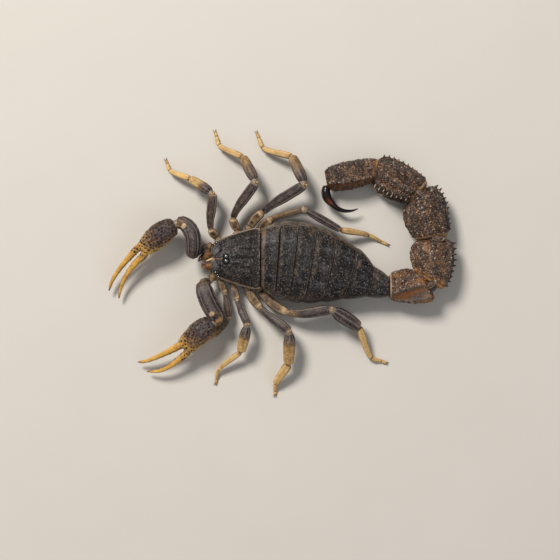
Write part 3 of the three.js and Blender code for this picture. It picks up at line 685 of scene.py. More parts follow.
def makeTrunk():
    edgeAngle = math.degrees(math.acos(trunk["plateReach"] ** 1.25))
    rows, sides, under = trunk["rows"], trunk["across"], 12
    w = 0.5 - 0.5 * np.cos(np.linspace(0, np.pi, rows))
    w = ((w + np.linspace(0, 1, rows)) / 2)[:, None]
    q = np.linspace(-1, 1, sides + 1)
    back = np.linspace(1, -1, under + 2)[1:-1]
    for n in range(7):
        corners = 1 - 0.2 * np.clip(1 - w / 0.34, 0, 1) ** 2 - 0.2 * np.clip(1 - (1 - w) / 0.3, 0, 1) ** 2
        corners = corners * (0.97 if n == 6 else 1.0)
        qq = q[None] * corners
        bow = trunk["bow"] * (1 - qq ** 2) * (0.3 if n == 0 else 1.0)
        length = trunk["plateLong"]
        bowed = bow / length * ramp(w, 0, 0.5) + bow / length * (n > 0) * ramp(w, 0.5, 0)
        t = np.clip((n + w * 1.035 - 0.012 + bowed) / 7, 0.002, 0.9995)
        plain = ease(trunk["lift"], w[:, 0]) + 0 * qq
        lift = plain
        if n == 0:
            lift = lift * ramp(w, 0, 0.3) - 0.1 * ramp(w, 0.15, 0)
        if n == 6:
            lift = lift + 0.05
        edge = np.abs(q)[None]
        lift = lift - 0.16 * ramp(edge, 0.95, 1.0)
        across, side = qq * 10, np.abs(qq * 10)
        keels = 0.6 * bell(across, 0.42) if n < 6 else 0.7 * bell(across, 0.5)
        keels = keels + (bell(side - 3.6, 0.42) if n < 6 else bell(side - 4.4, 0.42) + bell(side - 7.4, 0.5))
        keels = keels * ramp(w, 0.3, 0.5)
        lift = lift + (0.05 if n < 5 else 0.14) * keels
        angle = 90 - qq * (90 - edgeAngle)
        rim = trunkPlace(t, angle, lift)
        grit = 0.028 * lumps(rim, 0.5, 31 + n) + 0.022 * lumps(rim, 0.24, 41 + n)
        broad = lumps(rim, 2.4, 50 + n)
        top = trunkPlace(t, angle, lift + grit * (1 + (n == 6)) + 0.03 * broad)
        qb = back[None] * corners * 0.985
        middle = [sides // 2]
        tb = t[:, middle] - (bow[:, middle] - trunk["bow"] * (1 - qb ** 2)) / length / 7
        bottom = trunkPlace(np.clip(tb, 0.002, 0.9995), 90 - qb * (90 - edgeAngle), plain[:, :1] - trunk["thick"])
        # a painted highlight behind the front line, and a painted blue grey sheen over the middle
        frontHighlight = bell(w - 0.25, 0.12) * bell(qq + 0.15, 0.45) * (n > 0)
        frontHighlight = frontHighlight * ramp(lumps(rim, 0.45, 70 + n) + 0.6 * lumps(rim, 1.3, 75 + n), -0.4, 1.0)
        paintedSheen = bell(w - 0.6, 0.3) * ramp(np.abs(qq), 0.8, 0.4) * ramp(lumps(rim, 1.5, 80 + n), -0.5, 0.6)
        tone = 0.22 + 0.3 * ramp(np.abs(qq), 0.45, 1.0) + 0.14 * broad + 0.16 * ramp(w, 0.6, 0.95) + 0.1 * (n == 6)
        tone = tone + 0.35 * frontHighlight - 0.1 * paintedSheen - trunk["darker"][n] + 0.5 * (n == 0) * ramp(w, 0.34, 0.2)
        rear, frontLine = ramp(w, 0.965, 0.99), ramp(w, 0.095, 0.035)
        # the painted highlight also lifts the rim colour
        rimMask = rear * (0.22 + 0.4 * ramp(np.abs(qq), 0.5, 0.9)) + 0.22 * frontHighlight
        rimMask = np.clip(rimMask + 0.75 * bell(edge - 0.975, 0.022) * ramp(w, 0.1, 0.3), 0, 1)
        crease = np.clip(frontLine * 0.95 + 0.6 * bell(w - 0.905, 0.02), 0, 1) * (1 - rimMask)
        # the keel mask also carries a painted highlight stripe behind the front line and the painted sheen
        keel = np.clip(0.4 * keels + 0.2 * bell(w - 0.2, 0.07) + (0.4 if n < 4 else 0.22) * paintedSheen, 0, 1)
        grain = np.clip(trunk["grain"][n] + 0.3 * ramp(w, 0.3, 0.8), 0, 1) * ramp(w, 0.15, 0.24) * (1 - rear)
        trunkPieces.append(buildPlate(f"backPlate{n + 1}", "back", top, bottom, tone=np.clip(tone, 0, 1), rim=rimMask,
                                      crease=crease, keel=keel, grain=grain, coarse=0.3 * keels + 0.25 * (n == 6)))
    # belly plates
    rows, sides, under = 30, 56, 10
    w = np.linspace(0, 1, rows)[:, None]
    q = np.linspace(-1, 1, sides + 1)
    back = np.linspace(1, -1, under + 2)[1:-1]
    corners = 1 - 0.12 * np.clip(1 - w / 0.2, 0, 1) ** 2 - 0.1 * np.clip(1 - (1 - w) / 0.2, 0, 1) ** 2
    qq, qb = q[None] * corners, back[None] * corners * 0.98
    lift = ease(trunk["bellyLift"], w[:, 0]) - 0.15 * ramp(np.abs(q)[None], 0.94, 1)
    for n in range(2, 7):
        t = np.clip((n + w * 1.03 - 0.01) / 7, 0.002, 0.9995)
        angle = -90 + qq * (90 - trunk["bellyEdge"])
        top = trunkPlace(t, angle, lift + 0.02 * lumps(trunkPlace(t, angle), 0.8, 61 + n))
        bottom = trunkPlace(t, -90 + qb * (90 - trunk["bellyEdge"]), lift[:, [sides // 2]] - 0.28)
        # breathing slits, one on each side
        slit = bell(np.hypot((np.abs(qq) - 0.55) / 0.1, (w - 0.45) / 0.09), 1) * (n < 6)
        buildPlate(f"bellyPlate{n - 1}", "belly", top, bottom, tone=0.62 + 0.2 * ramp(np.abs(qq), 0.5, 1),
                   rim=ramp(w, 0.93, 0.98) * 0.6, crease=np.clip(slit + 0.7 * ramp(w, 0.08, 0.0), 0, 1),
                   keel=0.2 * bell(w - 0.2, 0.1))
    # one soft skin under all plates
    t = np.linspace(0.004, 0.996, 130)[:, None]
    angle = np.arange(168)[None] / 168 * 360
    plain = trunkPlace(t, angle)
    fold = lumps(plain * [1, 0.8, 2.2], 0.8, 71) + 0.5 * lumps(plain, 0.35, 73)
    scallop = np.abs(np.sin(np.pi * t * 7))
    flankShare = bell(angle - 8, 30) + bell(angle - 172, 30) + bell(angle - 368, 30)
    pushed = -0.55 + flankShare * (0.26 + 0.36 * scallop ** 0.7 + 0.08 * fold)
    fit = ramp(t, 0, 0.01) * ramp(t, 1, 0.99)
    # pale folds run along both flanks
    wave = 11 + 4 * fold + 4 * scallop
    seam, margin = (np.maximum(bell(angle - k * wave, 2.6), bell(angle - 180 + k * wave, 2.6)) for k in (1, 0.3))
    # the flank toward the key light is painted paler, which is painted light
    tone = 0.27 + 0.1 * fold + 0.34 * np.maximum(seam, 0.8 * margin) + 0.16 * bell(angle - 168, 28)
    skin = Skin()
    skin.add(trunkPlace(t, angle, pushed * (0.3 + 0.7 * fit)), tone=tone,
             crease=np.clip(0.7 * (1 - scallop) ** 2, 0, 1))
    skin.build("trunkSkin", finishes["membrane"], "belly", *[f"mesosoma_{n + 1}" for n in range(7)])


trunkPieces = []
makeTrunk()
print("trunk made")

# ---- breast plate and combs
under = {
    "sternum": [[-0.95, -12.4, 2.5], [-0.95, -9.5, 2.2], [-0.95, -4.6, 2.2]],
    "sternumSizes": [[0, 0.3, 0.4], [0.25, 0.72, 0.6], [0.85, 0.8, 0.6], [1, 0.5, 0.4]],
    "combRoot": [1.2, -3.1, 1.55], "combReach": [7.0, 1.0, 1.55], "teeth": 20, "toothLength": 1.35,
    "combSizes": [[0, 0.4, 0.24], [0.15, 0.5, 0.3], [0.8, 0.45, 0.28], [1, 0.25, 0.2]],
    "toothSizes": [[0, 0.10, 0.14], [0.35, 0.13, 0.2], [0.8, 0.135, 0.22], [1, 0.09, 0.12]],
}


def makeUnderside():
    skin = Skin()
    grid, share, angle, _ = limb(under["sternum"], under["sternumSizes"], rings=24, keels=(270,), keelHigh=-0.12,
                                 keelWide=14, rough=0.02)
    skin.add(grid, tone=0.6, crease=0.7 * bell(angle - 270, 12), rim=0.25 * ramp(share, 0.9, 1))
    for side in (1, -1):
        # the lid in front of the combs
        lid = [[head["midline"] + side * 0.1, -4.3, 2.0], [head["midline"] + side * 1.5, -3.6, 1.95]]
        lid = limb(lid, [[0, 0.5, 0.3], [0.5, 0.62, 0.32], [1, 0.4, 0.22]], rings=14, sides=20)[0]
        skin.add(lid, tone=0.62)
    skin.build("breastPlate", finishes["slate"], "belly", "sternum")
    for name, side in (("Left", 1), ("Right", -1)):
        skin = Skin()
        root, reach = (np.array([head["midline"] + side * x, y, z])
                       for x, y, z in (under["combRoot"], under["combReach"]))
        along = unit(reach - root)
        rearward = np.array([-along[1] * side, along[0] * side, 0])
        grid, share, _, _ = limb([root, reach], under["combSizes"], rings=40, sides=20)
        skin.add(grid, tone=0.6, crease=0.4 * bell((share * 9) % 1 - 0.5, 0.12))
        for n in range(under["teeth"]):
            start = root + (reach - root) * (n + 0.6) / under["teeth"]
            length = under["toothLength"] * (1 - 0.35 * (n / under["teeth"]) ** 2)
            tip = start + rearward * length
            tooth = limb([start, tip], under["toothSizes"], rings=12, sides=10, cap=(0, 0.12))[0]
            skin.add(tooth, tone=0.78, keel=0.2)
            skin.add(ballGrid(start + rearward * 0.18, (0.13, 0.13, 0.2), 8, 10)[0], tone=0.66)
        skin.build("comb" + name, finishes["limb"], "ochre", "pecten_" + name.lower())


makeUnderside()

# ---- tail
tail = {
    "rings": [
        {"from": [6.0, 27.0, 4.55], "to": [5.83, 36.9, 4.7], "half": 3.95, "deep": 3.85,
         "roll": [26, 72], "twist": 0.55, "lean": [2, 28], "ends": [1, 1], "edge": 0.9},
        {"from": [5.0, 37.2, 4.75], "to": [-5.7, 38.2, 4.75], "half": 4.8, "deep": 4.95,
         "roll": [62, 68], "twist": 1, "lean": [26, 8], "ends": [0.9, 1], "edge": 0.4},
        {"from": [-6.0, 38.0, 4.8], "to": [-17.2, 34.55, 4.8], "half": 4.8, "deep": 5.1,
         "roll": [72, 74], "twist": 1, "lean": [8, 18], "ends": [1, 0.88], "edge": 0.5},
        {"from": [-17.3, 34.6, 4.6], "to": [-23.0, 23.7, 4.4], "half": 4.5, "deep": 4.35,
         "roll": [75, 75], "twist": 1, "lean": [16, 12], "ends": [1, 0.93], "edge": 0.8},
        {"from": [-23.2, 24.8, 4.2], "to": [-20.7, 11.4, 3.8], "half": 3.45, "deep": 3.4,
         "roll": [75, 72], "twist": 1, "lean": [16, 0], "ends": [1, 0.92], "edge": 0.5},
    ],
    "crests": [-158, -118, -66, -27, 27, 66, 118, 158], "lastCrests": [-125, -48, 48, 125, 180],
    "profile": [[0, 0.6], [0.03, 0.72], [0.08, 0.81], [0.16, 0.885], [0.28, 0.95], [0.44, 1], [0.6, 1.02],
                [0.74, 1.0], [0.84, 0.955], [0.92, 0.87], [0.97, 0.77], [1, 0.66]],
    "rows": 84, "around": 132, "ridge": 0.2, "valley": 0.2, "tooth": 0.3, "toothWide": 0.22, "toothStep": 0.62,
    "big": {(2, -158): 0.85, (3, -158): 0.8, (2, -118): 0.6, (3, -118): 0.55, (4, -158): 0.6, (4, -118): 0.42,
            (4, -27): 1.1, (4, 27): 0.4, (5, 180): 0.34, (1, 158): 0.4, (1, 118): 0.45},
    "tone": [0.46, 0.46, 0.37, 0.34, 0.31], "neckTone": [0, 0, 0.3, 0.3, 0.5], "comb": (4, -27),
}
teeth = {key: [] for key in ("places", "aim", "tall", "wide", "tone", "pale", "root")}


def addTooth(place, aim, tall, wide, tone, pale, root):
    for values, value in zip(teeth.values(), (place, aim, tall, wide, tone, pale, root)):
        values.append(value)


def tailFrame(ring, share):
    start, end = np.array(ring["from"], float), np.array(ring["to"], float)
    tangent = unit(end - start)
    outward = unit(np.cross(tangent, [0, 0, 1]))
    centre = start + (end - start) * share[:, None]
    turned = ring["roll"][0] + (ring["roll"][1] - ring["roll"][0]) * share ** ring["twist"]
    across, up = acrossAndUp(np.repeat(tangent[None], len(share), 0), turned)
    lean = [math.tan(math.radians(v)) for v in ring["lean"]]
    return centre, tangent, outward, across, up, lean[1] * share - lean[0] * (1 - share)


def tailPlace(ring, share, angle, grow, size):
    # share has one value a row; angle and grow are whole grids
    centre, tangent, outward, across, up, slant = tailFrame(ring, share)
    a = np.radians(angle)
    wide = -(ring["half"] * size[:, None] + grow) * power(np.sin(a), 0.84)
    tall = (ring["deep"] * size[:, None] + grow) * power(np.cos(a), 0.84)
    offset = wide[..., None] * across[:, None] + tall[..., None] * up[:, None]
    offset = offset + tangent * (slant[:, None] * (offset @ outward))[..., None]
    return centre[:, None] + offset


def ringSize(ring, share):
    near, far = ring["ends"]
    return ease(tail["profile"], share)[:, 0] * ease([[0, near], [0.4, 1], [0.6, 1], [1, far]], share)[:, 0]


def ringMasks(n, share, plain, gap, crest):
    # how amber a ring is, where it is glazed, and where its face is smooth
    glaze = face = np.zeros_like(crest)
    if n == 1:
        side = gap(-92)
        face = ramp(side, -24, -18) * ramp(side, 21, 15) * ramp(share, 0.02, 0.12) * ramp(share, 0.97, 0.88)
        glaze = ramp(side + 7 * lumps(plain, 1.2, 3) - 34 * (share - 0.45), -14, 0)
        glaze = face * glaze * np.clip(0.7 + 0.4 * lumps(plain, 0.7, 4), 0, 1)
    elif n == 5:
        glaze = ramp(np.abs(gap(0)), 45, 40) * np.clip(0.75 + 0.4 * lumps(plain, 0.6, 4), 0, 1)
        face = 0.5 * glaze
    else:
        glaze = 0.2 * bell(gap(0), 14)
    tone = tail["tone"][n - 1] + 0.2 * lumps(plain, 1.8, 100 + n) + 0.09 * (1 - crest)
    if n == 1:
        tone = tone + 0.55 * ramp(gap(-118), 2, -14) * ramp(gap(-118), -50, -30)
        tone = tone + 0.25 * ramp(share, 0.6, 1.0) * bell(gap(-60), 60)
    if n == 2:
        tone = tone + 0.45 * ramp(share, 0.22, 0.05)
    tone = tone + tail["neckTone"][n - 1] * ramp(share, 0.15, 0.06)
    return np.clip(tone - 0.12 * crest, 0, 1), glaze, face


def makeRing(n, ring):
    rows, around = tail["rows"], tail["around"]
    share = 0.5 - 0.5 * np.cos(np.linspace(0, np.pi, rows))
    share = (share + np.linspace(0, 1, rows)) / 2
    size = ringSize(ring, share)
    down = share[:, None]
    angle = (np.arange(around) / around * 360 - 180)[None] + 0 * down
    gap = lambda c: wrapped(angle - c)
    crests = tail["lastCrests"] if n == 5 else tail["crests"]
    nearest = np.min([np.abs(gap(c)) for c in crests], axis=0)
    crest, valley = bell(nearest, 6.5 if n < 5 else 6), ramp(nearest, 4, 18)
    body = ramp(down, 0.04, 0.16) * ramp(down, 1.0, 0.9)
    grow = (tail["ridge"] * crest - tail["valley"] * valley) * body
    # the back of each ring is hollowed along its middle
    grow = grow - 0.45 * bell(gap(0), 17) * body * (1.0 if n < 5 else 1.2)
    plain = tailPlace(ring, share, angle, grow, size)
    tone, glaze, face = ringMasks(n, down, plain, gap, crest)
    rough = 0.07 * lumps(plain, 0.75, 80 + n) + 0.05 * lumps(plain, 0.36, 90 + n) + 0.025 * lumps(plain, 0.2, 95 + n)
    rough = rough * (1 - 0.85 * glaze) * (1 - 0.7 * ramp(down, 0.15, 0.06))
    lip = 0.07 * bell(down - 0.9, 0.03) * (1 + lumps(plain, 0.5, 99))
    grid = tailPlace(ring, share, angle, grow + rough * (0.4 + 0.6 * body) + lip, size)
    grid[..., 2] = np.maximum(grid[..., 2], 0.02)
    rim = bell(down - 0.045, 0.016) * ring["edge"] * (0.6 + 0.4 * lumps(plain, 0.4, 5))
    crease = 0.6 * bell(down - 0.955, 0.02) + 0.21 * valley + 0.5 * bell(down - 0.095, 0.02) * (n > 1)
    smooth = np.clip(face + 0.6 * glaze * (n in (2, 3, 4)), 0, 1)
    grain = (0.85 + 0.15 * lumps(plain, 1.8, 100 + n)) * body * (1 - smooth)
    grain = np.clip(grain + 0.15 * (1 - face) * (down > 0.1) * (down < 0.95), 0, 1) * ramp(grid[..., 2], 0.5, 0.7)
    skin = Skin()
    skin.add(grid, tone=tone, glaze=np.clip(glaze, 0, 1), crease=np.clip(crease, 0, 1) * (1 - glaze), grain=grain,
             keel=np.clip(0.7 * crest * body + (face - glaze) * (n == 1), 0, 1), rim=np.clip(rim, 0, 1),
             coarse=np.clip(0.8 * crest + 0.3 * (n in (2, 3)), 0, 1) * body)
    tailPieces.append(skin.build(f"tailRing{n}", finishes["tail"], "tail", f"metasoma_{n}"))
    for c in crests:
        crestTeeth(n, ring, c)


def crestTeeth(n, ring, c):
    # a row of spines along one crest of a ring
    along, length = heading(ring["from"], ring["to"]), stepLengths([ring["from"], ring["to"]])[0]
    tall, comb = tail["big"].get((n, c), tail["tooth"]), (n, c) == tail["comb"]
    step = 1.2 if comb else tail["toothStep"] * (1 + 0.6 * (tall > 0.45))
    broad = 1.15 if comb else 0.85 + 0.8 * (tall > 0.4) + 0.5 * (tall > 0.7)
    pale = 0.85 if n == 4 and abs(c) == 27 else 0.7 if n == 5 and abs(c) == 48 else 0.35 * (n == 1)
    count = int(length * 0.86 / step)
    for k in range(count):
        s = 0.085 + 0.86 * (k + 0.5) / count + 0.012 * math.sin(k * 12.9 + c)
        size = ringSize(ring, np.array([s]))
        turn = np.array([[c + 1.6 * math.sin(k * 7.7 + c * 0.3)]])
        low, high = (tailPlace(ring, np.array([s]), turn, np.array([[out]]), size)[0, 0] for out in (0.08, 1.0))
        if low[2] < 0.35 or low[2] + (high[2] - low[2]) * tall < 0.15:
            continue
        aim = unit(high - low) + 0.22 * along - (1.0 if comb else 0.0) * np.cross(along, [0, 0, 1])
        grown = tall * (0.75 + 0.35 * abs(math.sin(k * 2.3 + c))) * (0.7 + 0.5 * float(ramp(s, 0.1, 0.7)))
        wide = tail["toothWide"] * broad * (0.8 + 0.4 * abs(math.sin(k * 3.1)))
        root = ((c / 360 + 0.5) * 0.18 + 0.19 * (n - 1), s)
        addTooth(low, aim, grown, wide, 0.08 + 0.3 * (n == 1 and c == -118), pale, root)


tailPieces = []
for ringNumber, ringSizes in enumerate(tail["rings"], 1):
    makeRing(ringNumber, ringSizes)

joints = {"reach": [0.62, 0.48, 0.6, 0.52, 0.62, 0.6], "first": [5.75, 25.9, 4.7], "firstSize": [2.4, 2.6]}


def makeTailJoints():
    # soft tubes from the end of one ring into the start of the next
    def stub(ring, end, reach):
        along = heading(ring["from"], ring["to"])
        return np.array(ring[end], float), along, ring["half"] * reach, ring["deep"] * reach

    skin, rings = Skin(), tail["rings"]
    ends = [(np.array(joints["first"]), unit(np.array([0.3, 1, 0])), *joints["firstSize"])]
    ends += [stub(ring, "to", reach) for ring, reach in zip(rings, joints["reach"][1:])]
    starts = [stub(ring, "from", reach) for ring, reach in zip(rings, joints["reach"])]
    for n, (start, end) in enumerate(zip(ends, starts)):
        path = [start[0] - start[1] * 0.9, (start[0] + end[0]) / 2, end[0] + end[1] * 0.7]
        sizes = [[0, *start[2:]], [0.5, *(1.04 * (a + b) / 2 for a, b in zip(start[2:], end[2:]))], [1, *end[2:]]]
        grid, share, _, _ = limb(path, sizes, rings=30, sides=40, fullness=2.0, cap=(0.1, 0.1))
        fold = 0.05 * np.sin(share * 40) + 0.05 * lumps(grid, 0.5, 7 + n)
        grid = grid + unit(grid - grid.mean(1, keepdims=True)) * fold[..., None]
        skin.add(grid, tone=0.14 if n < 4 else 0.4, crease=0.5 * bell(np.sin(share * 24), 0.35))
    skin.build("tailJointSkin", finishes["membrane"], "tail")


makeTailJoints()

# smooth knuckles where two tail rings hinge: middle, half sizes along and across, turn in degrees
knuckles = [
    {"at": [5.4, 37.3, 8.3], "size": [0.7, 1.5, 0.6], "turn": 40},
    {"at": [-5.9, 38.9, 8.75], "size": [0.7, 1.6, 0.6], "turn": -6},
    {"at": [-17.1, 34.9, 8.55], "size": [0.7, 1.5, 0.6], "turn": -35},
]


def makeKnuckles():
    skin = Skin()
    for knuckle in knuckles:
        turn = math.radians(knuckle["turn"])
        # the ball starts square to this direction, so its first half size lies along the turn
        start = (math.sin(turn), -math.cos(turn), 0)
        grid, lat, lon = ballGrid(knuckle["at"], knuckle["size"], 22, 36, start=start)
        outer = bell(lat - 1.3, 0.3) * ramp(np.cos(lon - 0.5), -0.35, 0.35)
        skin.add(grid, tone=0.3, keel=0.6 * bell(lat, 0.7), rim=np.clip(outer * 1.2, 0, 1))
    skin.build("tailKnuckles", finishes["tail"], "tail")


makeKnuckles()
sting = {
    "path": [[-19.3, 11.6, 3.75], [-17.6, 11.35, 3.7], [-16.0, 11.8, 3.65], [-14.75, 12.85, 3.6], [-13.5, 14.3, 3.5],
             [-12.9, 16.2, 3.4], [-13.0, 18.0, 3.2], [-13.5, 19.5, 3.0]],
    "sizes": [[0, 0.8, 0.85], [0.07, 1.05, 1.2], [0.2, 1.18, 1.4], [0.34, 1.0, 1.2], [0.44, 0.76, 0.88],
              [0.52, 0.66, 0.72], [0.66, 0.52, 0.56], [0.82, 0.36, 0.38], [0.93, 0.22, 0.23], [1, 0.08, 0.08]],
}


def makeSting():
    bulb = {"cap": (0.35, 0.0), "rough": 0.012}
    needle = {"cap": (0.0, 0.1), "rough": 0.004}
    for name, span, shape, node in (("stingBulb", (0, 0.42), bulb, "telson_vesicle"),
                                    ("stingNeedle", (0.405, 1), needle, "telson_sting")):
        grid, share, angle, _ = limb(sting["path"], sting["sizes"], span, 60, 40, fullness=2.0, **shape)
        whole = span[0] + share * (span[1] - span[0])
        skin = Skin()
        skin.add(grid, tone=np.clip(0.1 + 0.9 * bell(whole - 0.36, 0.12) * bell(angle - 70, 60), 0, 1))
        skin.build(name, finishes["sting"], "sting", node)


makeSting()
print("tail and sting made")

# ---- legs
sideOf = {"left": 1, "right": -1}
legs = {
    "right_1": {"size": 0.95, "hip": [-6.1, -15.9, 3.1], "thigh": [-8.4, -17.4, 3.7], "knee": [-17.2, -16.8, 6.4],
                "shin": [-20.9, -22.5, 4.3], "ankle": [-23.2, -27.8, 1.5], "toe": [-26.0, -29.0, 0.3]},
    "right_2": {"size": 1.0, "hip": [-7.9, -10.9, 3.1], "thigh": [-11.1, -11.8, 3.8], "knee": [-19.9, -6.1, 7.2],
                "shin": [-26.3, -9.4, 4.7], "ankle": [-29.5, -15.4, 1.5], "toe": [-33.2, -16.6, 0.3]},
    "right_3": {"size": 1.05, "hip": [-8.8, -7.7, 3.1], "thigh": [-12.6, -4.5, 3.8], "knee": [-19.3, 6.1, 7.4],
                "shin": [-26.4, 2.9, 4.9], "ankle": [-28.9, -4.4, 1.6], "toe": [-33.0, -6.1, 0.3]},
    "right_4": {"size": 1.0, "edge": 0.6, "swell": 0.75, "hip": [-8.0, -5.2, 3.0], "thigh": [-10.9, -2.2, 3.4],
                "knee": [-13.3, 5.8, 5.6], "shin": [-8.1, 15.0, 4.9], "ankle": [-6.9, 22.1, 1.7],
                "toe": [-4.4, 27.3, 0.3]},
    "left_1": {"size": 0.75, "hip": [4.2, -14.9, 3.0], "thigh": [7.7, -13.9, 3.0], "knee": [13.9, -12.9, 2.8],
               "shin": [18.4, -17.0, 2.2], "ankle": [20.2, -20.5, 1.2], "toe": [21.1, -23.0, 0.3]},
    "left_2": {"size": 0.9, "hip": [6.0, -11.7, 3.1], "thigh": [9.5, -10.8, 3.8], "knee": [15.5, -8.2, 6.3],
               "shin": [22.3, -9.9, 4.0], "ankle": [27.1, -15.6, 1.4], "toe": [30.6, -16.4, 0.3], "edge": 0.86,
               "swell": 1.12},
    "left_3": {"size": 1.05, "hip": [6.9, -8.1, 3.1], "thigh": [11.4, -4.9, 3.8], "knee": [17.1, 2.3, 6.7],
               "shin": [25.4, 2.0, 4.3], "ankle": [30.6, -1.2, 1.5], "toe": [33.6, -1.4, 0.3], "edge": 0.88,
               "swell": 1.06, "shank": 1.3, "spots": 0.9},
    "left_4": {"size": 1.1, "hip": [7.0, -5.0, 3.0], "thigh": [12.5, 1.9, 4.4], "knee": [11.7, 12.8, 6.8],
               "shin": [16.1, 19.6, 4.5], "ankle": [23.9, 22.9, 1.3], "toe": [25.4, 26.9, 0.3], "edge": 0.93,
               "swell": 1.18},
}
legShape = {
    "rootX": 1.15, "rootY": [-12.8, -10.9, -9.0, -7.1], "rootZ": 2.95, "coxaHalf": [1.0, 1.3, 1.2, 1.1],
    "femur": 1.25, "patella": 1.34, "tibia": 0.82, "tarsus": 0.5, "footHeight": 0.33, "upperGap": 0.08,
    "lowerGap": 0.07,
}
# how each segment is drawn; the profiles below are widths along it
legPieces = {
    "coxa": {"rings": 30, "sides": 34, "keels": (60, 120), "keelHigh": 0.1, "hollow": 0.05, "rough": 0.03,
             "cap": (0.3, 0.25)},
    "ring": {"rings": 26, "sides": 34, "keels": (50, 130), "keelHigh": 0.1, "keelWide": 11, "hollow": 0.06,
             "rough": 0.03, "cap": (0.4, 0.22)},
    "thigh": {"rings": 44, "sides": 36, "keels": (48, 132, 215, 325), "keelHigh": 0.13, "keelWide": 8, "hollow": 0.07,
              "rough": 0.022, "cap": (0.45, 0.25)},
    "knee": {"rings": 44, "sides": 36, "keels": (50, 90, 130, 215, 325), "keelHigh": 0.11, "keelWide": 7,
             "hollow": 0.05, "rough": 0.02, "cap": (0.4, 0.22)},
    "shank": {"rings": 34, "sides": 30, "keels": (60, 120), "keelHigh": 0.05, "hollow": 0.03, "rough": 0.014,
              "cap": (0.3, 0.2), "flatFeet": True},
    "foot": {"rings": 24, "sides": 26, "rough": 0.01, "cap": (0.25, 0.2), "flatFeet": True},
    "toe": {"rings": 20, "sides": 24, "rough": 0.008, "cap": (0.2, 0.2), "flatFeet": True},
}
# tone along each segment, 0 dark to 1 amber: ring, thigh, knee segment, shank, foot
legTones = {
    "right_1": (0.5, [[0, 0.24], [1, 0.22]], [[0, 0.12], [0.3, 0.2], [0.5, 0.75], [1, 0.85]], 0.9, 0.92),
    "right_2": (0.5, [[0, 0.14], [1, 0.1]], [[0, 0.08], [0.25, 0.24], [0.6, 0.52], [1, 0.66]], 0.85, 0.92),
    "right_3": (0.5, [[0, 0.1], [1, 0.06]], [[0, 0.08], [0.3, 0.22], [0.6, 0.46], [1, 0.62]], 0.85, 0.92),
    "right_4": (0.5, [[0, 0.5], [0.6, 0.45], [1, 0.25]], [[0, 0.08], [0.8, 0.12], [1, 0.4]], 0.82, 0.9),
    "left_1": (0.45, [[0, 0.22], [1, 0.2]], [[0, 0.2], [0.4, 0.4], [1, 0.7]], 0.8, 0.85),
    "left_2": (0.5, [[0, 0.12], [1, 0.1]], [[0, 0.1], [0.3, 0.25], [0.55, 0.8], [1, 0.88]], 0.9, 0.92),
    "left_3": (0.5, [[0, 0.12], [1, 0.08]], [[0, 0.1], [0.25, 0.3], [0.45, 0.75], [1, 0.85]], 0.9, 0.92),
    "left_4": (0.5, [[0, 0.5], [0.18, 0.42], [0.32, 0.1], [1, 0.08]], [[0, 0.08], [0.75, 0.12], [1, 0.4]], 0.85, 0.9),
}
coxaProfile = [[0, 0.72], [0.3, 0.86], [0.75, 1]]
ringProfile = [[0.1, 0.8], [0.5, 0.93], [0.85, 0.86], [0.98, 0.7]]
femurProfile = [[0.2, 0.8], [0.5, 1.06], [0.8, 1.06], [0.94, 0.94], [1, 0.74]]
patellaProfile = [[0, 0.56], [0.08, 0.74], [0.2, 0.96], [0.4, 1.06], [0.7, 1.0], [0.93, 0.86], [1, 0.72]]
shankProfile = [[0, 0.72], [0.08, 0.98], [0.3, 1.06], [0.6, 0.93], [0.93, 0.76]]
footProfile = [[0.15, 1], [0.9, 0.86]]
toeProfile = [[0.35, 0.82], [0.8, 0.7], [1, 0.5]]
clawProfile, spurProfile = [[0, 0.13, 0.14], [0.5, 0.09, 0.1], [1, 0.03, 0.03]], [[0, 0.08, 0.08], [1, 0.02, 0.02]]


def scaled(profile, half, high):
    return [[row[0], row[1] * half, row[-1] * high] for row in profile]


def addJoint(points, half, high, tone, bulge=(1.0, 1.0), cap=0.1, **shape):
    # a short tube of soft skin that hides in the ends of both segments
    sizes = [[0, half, high], [0.5, half * bulge[0], high * bulge[1]], [1, half, high]]
    jointSkin.add(limb(points, sizes, cap=(cap, cap), **shape)[0], tone=tone)


def addThorn(skin, points, sizes, tone, darken, **shape):
    # a small claw or spur with a dark end
    grid, share, _, _ = limb(points, sizes, **shape)
    skin.add(grid, tone=tone, tip=ramp(share, *darken))


